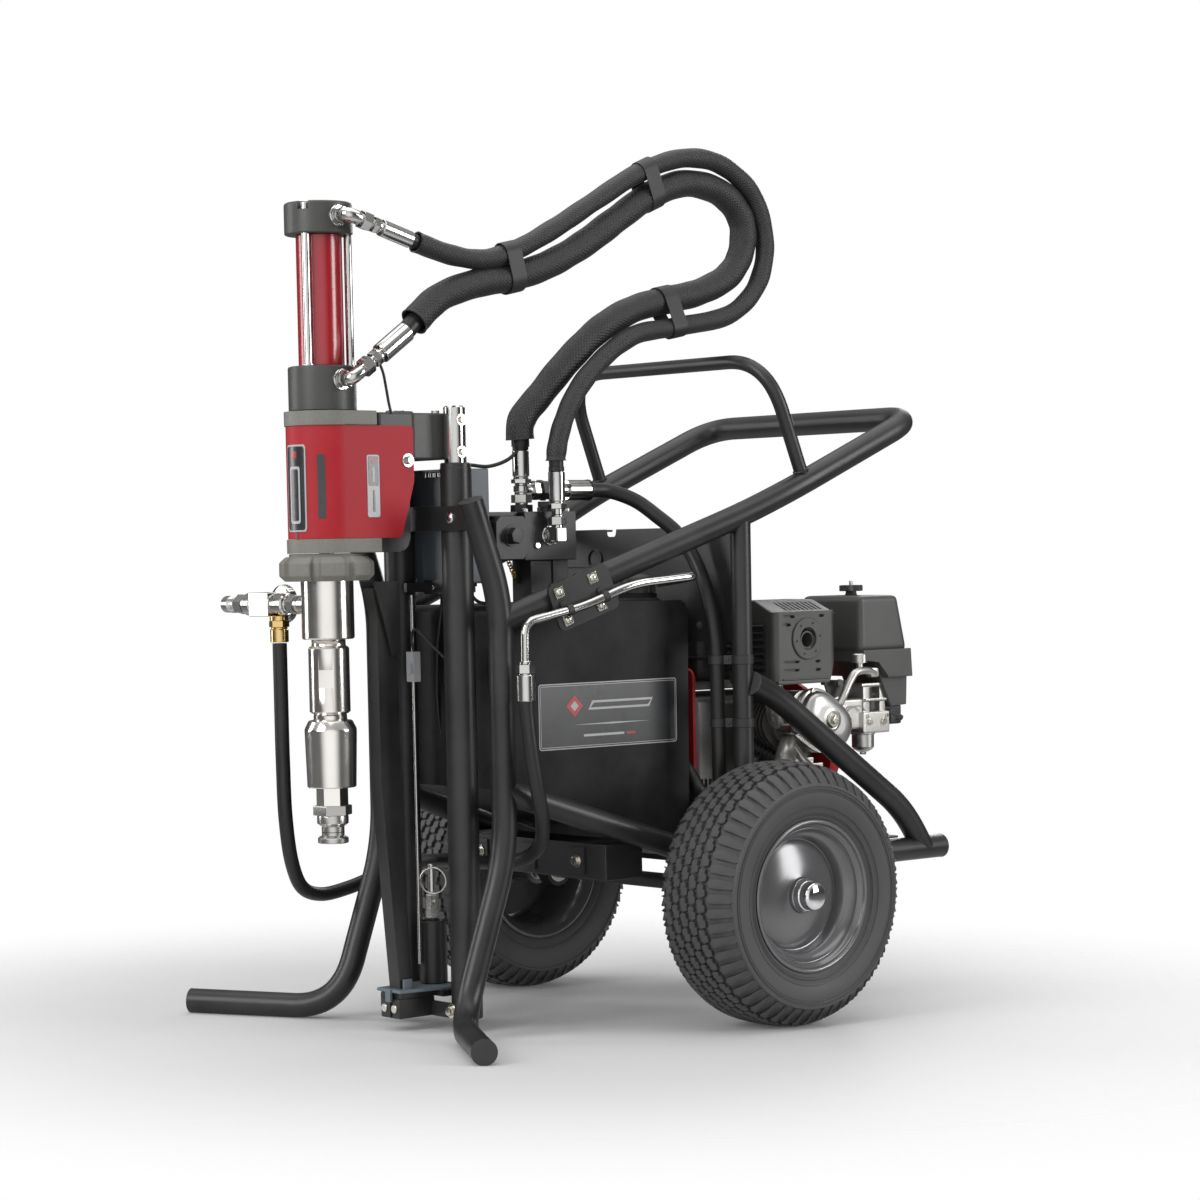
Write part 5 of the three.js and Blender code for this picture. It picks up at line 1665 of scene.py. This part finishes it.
def superellipse(dy, dz, a, b):
    """Outline of the tilted cylinder head, moved by dy and dz: an ellipse squared off a little."""
    power, steps = 2.6, 56
    turn = math.radians(HEAD_TILT)
    points = []
    for c, s in circle(steps, 1):
        y = a * math.copysign(abs(c) ** (2 / power), c)
        z = b * math.copysign(abs(s) ** (2 / power), s)
        points.append((HEAD[0] + dy + y * math.cos(turn) - z * math.sin(turn),
                       HEAD[1] + dz + y * math.sin(turn) + z * math.cos(turn)))
    return points


def make_engine_block():
    base = RAIL_Z + TUBE_R + 5
    block = Shape()
    block.box((-126, 60, base + 8), (68, 326, 292), ALUMINIUM_DARK, bevel=12, segments=4)
    block.box((-130, 56, base), (72, 330, base + 14), ALUMINIUM_DARK, bevel=3)
    block.lathe([(0, 55), (58, 55), (62, 57), (62, 66), (0, 66)], (ENGINE_X, 0, ENGINE_Z), Y, ALUMINIUM, 72)
    for x, z in circle(8, 54):
        block.bolt((ENGINE_X + x, 55.6, ENGINE_Z + z), -Y, 9, ZINC, washer=False)
    for n in range(6):
        block.box((68, 70 + n * 9, 96), (74, 73 + n * 9, 160), ALUMINIUM_DARK, bevel=0.8)
    block.chain((64, 300, 96), X, [("hex", 22, 9, STEEL), (9, 3, STEEL)])
    block.chain((64, 276, 128), X, [(12, 8, PLASTIC), (9, 5, PLASTIC)])
    for x in (-110, 50):
        for y in (76, 310):
            block.bolt((x, y, base + 14), Z, 13, ZINC)
    piece("crankcase", block, replaces=["engine_block"])
    cylinder = Shape()
    for n in range(9):
        cylinder.prism(superellipse(-38, -14, 58, 42), (72 + n * 8.6, 0, 0), Y, Z, 3.2, ALUMINIUM_DARK,
                       bevel=0.6)
    cylinder.prism(superellipse(-38, -14, 46, 32), (68, 0, 0), Y, Z, 86, ALUMINIUM_DARK)
    for n in range(5):
        cylinder.prism(superellipse(-14, -3, 62, 41), (150 + n * 6.4, 0, 0), Y, Z, 2.8, ALUMINIUM, bevel=0.6)
    cylinder.prism(superellipse(-12, -2, 54, 35), (148, 0, 0), Y, Z, 36, ALUMINIUM)
    piece("cylinder_and_head", cylinder)
    cover = Shape()
    levels = [(181, 61, 42), (186, 61, 42), (187, 60, 41), (188, 57, 38), (195, 55.5, 36.5), (199, 53, 34),
              (202.5, 48, 29.5), (204.6, 40, 22), (205.2, 30, 15)]
    cover.skin([[cover.bm.verts.new((x, y, z)) for y, z in superellipse(0, 0, a, b)] for x, a, b in levels],
               ROCKER)
    cover.lathe([(0, 204), (20, 204), (19.4, 205.4), (15, 206.2), (13.5, 205.6), (12.8, 207.2), (11.4, 208.4),
                 (0, 208.6)], (0, *HEAD), X, ROCKER, 56)
    cover.bolt((208.2, *HEAD), X, 12, ZINC, height=5)
    for turn in (30, 150, 210, 330):
        corner = Vector((54.6 * math.cos(math.radians(turn)), 52 * math.sin(math.radians(turn))))
        y, z = Matrix.Rotation(math.radians(HEAD_TILT), 2) @ corner
        cover.bolt((186, HEAD[0] + y, HEAD[1] + z), X, 9, ZINC, washer=False)
    piece("rocker_cover", cover, sharp=28.0)
    ports = Shape()
    ports.curve([(150, 182, 262), (152, 166, 252), (156, 156, 262), (158, 150, 290), (158, 150, 318)], 15,
                ALUMINIUM, 28)
    horn = smooth([(150, 196, 232), (158, 182, 222), (166, 168, 206), (170, 160, 186)], 8)
    ports.sweep(horn, 10, ALUMINIUM, sides=28, radii=[9 + 9 * i / (len(horn) - 1) for i in range(len(horn))])
    ports.curve([(172, 176, 214), (172, 196, 192), (160, 222, 178), (140, 250, 172), (120, 280, 170)], 7,
                ALUMINIUM, 20)
    ports.sweep([(120, 168, 242), (190, 168, 242)], 11, STEEL, sides=24)
    ports.box((100, 140, 160), (178, 262, 166), ALUMINIUM, bevel=2)
    for n in range(3):
        ports.box((110 + 22 * n, 146, 164), (116 + 22 * n, 256, 196 - 8 * n), ALUMINIUM, bevel=1.2)
    ribs = Shape()
    for n in range(9):
        ribs.sweep(ring_path((92 + n * 4.6, 150 + n * 4.5, 214 - n * 3.4), (0.72, 0.66, -0.4), 24 - n,
                             steps=36), 1.7, CAST_BLACK, sides=8, caps=False)
    ribs.sweep([(88, 146, 217), (134, 190, 182)], 15, CAST_BLACK, sides=24)
    piece("exhaust_and_intake_ports", ports)
    piece("ribbed_boot", ribs)


def make_muffler():
    shell = Shape()
    shell.prism(rounded(85, 114, 200, 251, 12), (0, 0, 317), X, Y, 112, HOT_STEEL, bevel=1.6, segments=2)
    shell.hexahedron([(85, 116, 424), (200, 116, 424), (200, 249.6, 424), (85, 249.6, 424),
                      (88, 118, 447), (150, 118, 447), (150, 246, 447), (88, 246, 447)], HOT_STEEL, bevel=2.0)
    made = piece("muffler_shell", shell, replaces=["muffler"])
    cutter = Shape()
    cutter.hexahedron([(70, 230, 300), (215, 230, 300), (215, 270, 300), (70, 270, 300),
                       (70, 252.5, 362), (215, 252.5, 362), (215, 270, 362), (70, 270, 362)], HOT_STEEL)
    for y, z, wide, tall in ((145.8, 420.8, 26, 5), (140.9, 408, 18, 5), (150.6, 348.4, 35, 4),
                             (150.3, 335.2, 35, 4.5), (217.5, 421.1, 13, 4.5), (208.3, 348, 12, 4.5),
                             (209, 334.5, 12, 4.5)):
        cutter.prism(rounded(y - wide / 2, z - tall / 2, y + wide / 2, z + tall / 2, tall * 0.48),
                     (194, 0, 0), Y, Z, 12, PAINTED_SHADE)
    down = Vector((50, 0, -23)).normalized()
    for n in range(9):
        top = Vector((158, 150 + n * 9.6, 447 - 8 * 0.46))
        cutter.slab([top + down * u + Y * w for u, w in ((0, 0), (30, 3), (30, 7), (0, 4))], Z * -5, Z * 8,
                    PAINTED_SHADE)
    cutter.pin((166, 185.3, 385.2), X, 17.5, 0, 40, PAINTED_SHADE, 48)
    carve(made, cutter)
    trim = Shape()
    flange = [(17.6, 0), (33.6, 0), (33.6, 2.4), (32.4, 3.4), (18.6, 3.4), (17.6, 2.6)]
    trim.lathe(flange, (199.8, 185.3, 385.2), X, HOT_STEEL, 72, closed=True)
    trim.collar((174, 187, 383), X, 11.8, 14.4, 0, 24, HOT_STEEL)
    # Small dark discs on the flange: painted shade standing in for its bolt holes.
    for y, z in circle(6, 26, 8):
        trim.disc((203.1, 185.3 + y, 385.2 + z), X, 2.0, 0.25, PAINTED_SHADE, bevel=0.05, steps=20)
    trim.box((88, 120, 313), (201.5, 234, 319), HOT_STEEL, bevel=1.2)
    trim.sweep([(200.6, 130, 320.5), (200.6, 234, 320.5)], 1.6, HOT_STEEL, sides=12)
    trim.box((84, 112, 425), (86, 240, 434), HOT_STEEL, bevel=0.6)
    for n in range(7):
        trim.sweep([(92, 112.6, 338 + 11.2 * n), (178, 112.6, 338 + 11.2 * n)], 3.7, CAST_BLACK, sides=16)
    piece("muffler_trim", trim)


def make_air_cleaner():
    box = Shape()
    box.hexahedron([(50, 314, 358), (191, 314, 358), (191, 425, 358), (50, 425, 358),
                    (53, 316, 450), (189, 316, 450), (189, 405, 450), (53, 405, 450)], COVER_GREY, bevel=11,
                    segments=6)
    piece("air_cleaner_cover", box, replaces=["air_cleaner"], sharp=50.0)
    base = Shape()
    base.prism([(317, 343), (353, 343), (372, 315), (431, 315), (428, 361.5), (317, 361.5)], (47, 0, 0), Y,
               Z, 149, COVER_GREY, bevel=2.4, segments=3)
    base.prism([(356, 338), (431, 316), (429, 268), (392, 266)], (92, 0, 0), Y, Z, 91, COVER_GREY, bevel=3.0,
               segments=3)
    base.box((112, 383, 236), (176, 424, 268), PLASTIC, bevel=5, segments=4)
    base.sweep([(178, 388, 258), (178, 420, 246)], 5, PLASTIC, sides=20)
    base.box((174, 392, 240), (182, 404, 262), PLASTIC, bevel=1.5)
    piece("air_cleaner_base", base)
    knob = Shape()
    outline = []
    for i in range(72):
        turn = 2 * math.pi * i / 72
        r = 17.6 + 2.4 * math.cos(6 * turn)
        outline.append((r * math.cos(turn), r * math.sin(turn)))
    knob.prism(outline, (120, 365, 457), X, Y, 10, PLASTIC, bevel=1.8, segments=3)
    knob.lathe([(0, 450.4), (11.5, 450.4), (9.5, 452), (8.6, 457.5), (0, 457.5)], (120, 365, 0), Z, PLASTIC,
               32)
    knob.disc((120, 365, 466), Z, 3.0, 8, STEEL, bevel=0.8)
    piece("filter_wing_knob", knob, "filter_knob", ["air_cleaner_knob"])


def make_carburettor():
    body = Shape()
    body.box((128, 327, 224), (184, 388, 260), ALUMINIUM, bevel=3.5, segments=3)
    body.box((150, 262, 232), (176, 334, 282), ALUMINIUM, bevel=5, segments=3)
    body.lathe([(0, 193), (9, 193), (11, 194.5), (15.5, 197), (18.4, 201), (18.4, 221), (20.5, 222.4),
                (20.5, 226), (0, 226)], (158, 350, 0), Z, ROCKER, 56)
    body.bolt((158, 350, 193), -Z, 9, ZINC, washer=False)
    body.box((136, 334, 258), (176, 350, 304), ALUMINIUM, bevel=2.5)
    body.box((136, 372, 258), (176, 386, 314), ALUMINIUM, bevel=2.5)
    body.box((134, 330, 300), (178, 388, 306), ALUMINIUM, bevel=2)
    body.box((138, 336, 276), (181, 384, 281), STEEL, bevel=1.2)
    body.chain((170, 352, 281), Z, [(4.4, 16, CHROME), (6.4, 4, CHROME)])
    body.chain((150, 366, 258), Z, [(6, 26, ALUMINIUM), (8, 5, STEEL)])
    body.chain((182, 372, 243), X, [(6, 6, ZINC)])
    body.chain((182, 340, 243), X, [(5, 7, ZINC)])
    body.curve([(184, 330, 262), (186, 318, 270), (182, 300, 268), (176, 290, 256)], 1.4, STEEL, 10, 6)
    for y in (336, 380):
        body.disc((184, y, 252), X, 3.4, 2.2, ZINC)
    piece("carburettor", body)
    tube = Shape()
    tube.curve([(188, 268, 276), (190, 276, 290), (190, 292, 314), (190, 303, 325), (189, 318, 328),
                (187, 336, 327), (185, 350, 322)], 6.4, ALUMINIUM, 24)
    tube.disc((184, 319, 341), Z, 12.2, 15, ALUMINIUM, bevel=1.8)
    tube.disc((184, 319, 328), Z, 5.5, 14, ALUMINIUM)
    tube.box((176, 340, 316), (190, 358, 332), ALUMINIUM, bevel=3)
    piece("breather_tube", tube)
    bracket = Shape()
    bracket.box((150, 262, 306), (184, 286, 314), HOT_STEEL, bevel=2)
    bracket.prism([(250, 312), (322, 312), (296, 290), (262, 282)], (168, 0, 0), Y, Z, 4, HOT_STEEL,
                  bevel=0.8)
    bracket.disc((184, 270, 310), X, 6, 5, HOT_STEEL)
    piece("control_bracket", bracket)


def make_fuel_tank():
    tank = Shape()
    tank.box((-190, 90, 316), (44, 328, 428), PLASTIC, bevel=22, segments=6)
    tank.box((-194, 86, 352), (48, 332, 358), PLASTIC, bevel=2)
    tank.box((-150, 110, 300.6), (10, 310, 320), ALUMINIUM_DARK, bevel=3)
    tank.pin((-65, 200, 0), Z, 32, 426, 430, PLASTIC, 56)
    piece("petrol_tank", tank, replaces=["fuel_tank"])
    cap = Shape()
    cap.lathe([(0, 430.2), (27, 430.2), (28.2, 432), (28.2, 443), (26, 446.4), (20, 448), (0, 448.6)],
              (-65, 200, 0), Z, PLASTIC, 56)
    for x, y in circle(16, 28):
        cap.disc((x - 65, y + 200, 432), Z, 2.0, 11, PLASTIC, steps=10)
    piece("petrol_filler_cap", cap, "petrol_cap", ["fuel_cap"])


def make_starter():
    base = (ENGINE_X, 0, ENGINE_Z)
    cowl = Shape()
    cowl.lathe([(0, 331), (118, 331), (120, 333), (120, 341), (108, 349), (96, 356), (92, 362), (90, 384),
                (84, 392), (70, 396), (34, 396), (30, 391), (0, 391)], base, Y, RED, 96)
    made = piece("starter_cowl", cowl, replaces=["recoil_starter"])
    cutter = Shape()
    for n, (x, z) in enumerate(circle(20, 1)):
        if abs((18 * n - 52 + 180) % 360 - 180) < 22:
            continue
        out, side = Vector((x, 0, z)), Vector((-z, 0, x))
        spots = [Vector(base) + out * r + side * w for r, w in ((44, -3), (78, -4.5), (78, 4.5), (44, 3))]
        cutter.slab(spots, Y * 388, Y * 404, PAINTED_SHADE)
    cutter.pin((30, 0, 235), Y, 6, 370, 410, PAINTED_SHADE, 24)
    carve(made, cutter)
    inner = Shape()
    # Dark ring behind the cowl's slots: painted shade inside the starter, seen through the slots.
    inner.collar(base, Y, 12, 82, 386, 387.4, PAINTED_SHADE, 64)
    inner.lathe([(5.6, 395), (9.5, 395), (9.5, 398), (7, 399.4), (5.6, 399.4)], (30, 0, 235), Y, PLASTIC, 32,
                closed=True)
    for x, z in circle(4, 112, 45):
        inner.bolt((ENGINE_X + x, 341.5, ENGINE_Z + z), Y, 9, ZINC)
    piece("starter_shade_disc_and_fittings", inner)
    grip = Shape()
    grip.sweep([(30, 372, 235), (30, 406, 235)], 2.2, STRAP, sides=12)
    along = range(-32, 33, 4)
    grip.sweep([(30 + t, 406 + 2.5 * (t / 32) ** 2, 235) for t in along], 8, PLASTIC, sides=24,
               radii=[6.2 if abs(t) > 28 else 8 - 1.4 * math.cos(math.pi * t / 36) for t in along])
    grip.disc((30, 399.6, 235), Y, 5, 4, PLASTIC)
    piece("starter_grip", grip, "starter", ["starter_handle"])
    shroud = Shape()
    shroud.prism(rounded(-128, 150, 74, 340, 16), (0, 56, 0), X, Z, 6, RED, bevel=1.6, segments=3)
    made = piece("front_shroud", shroud)
    hole = Shape()
    hole.pin(base, Y, 64, 40, 70, RED, 64)
    carve(made, hole)


make_engine_block()
make_muffler()
make_air_cleaner()
make_carburettor()
make_fuel_tank()
make_starter()
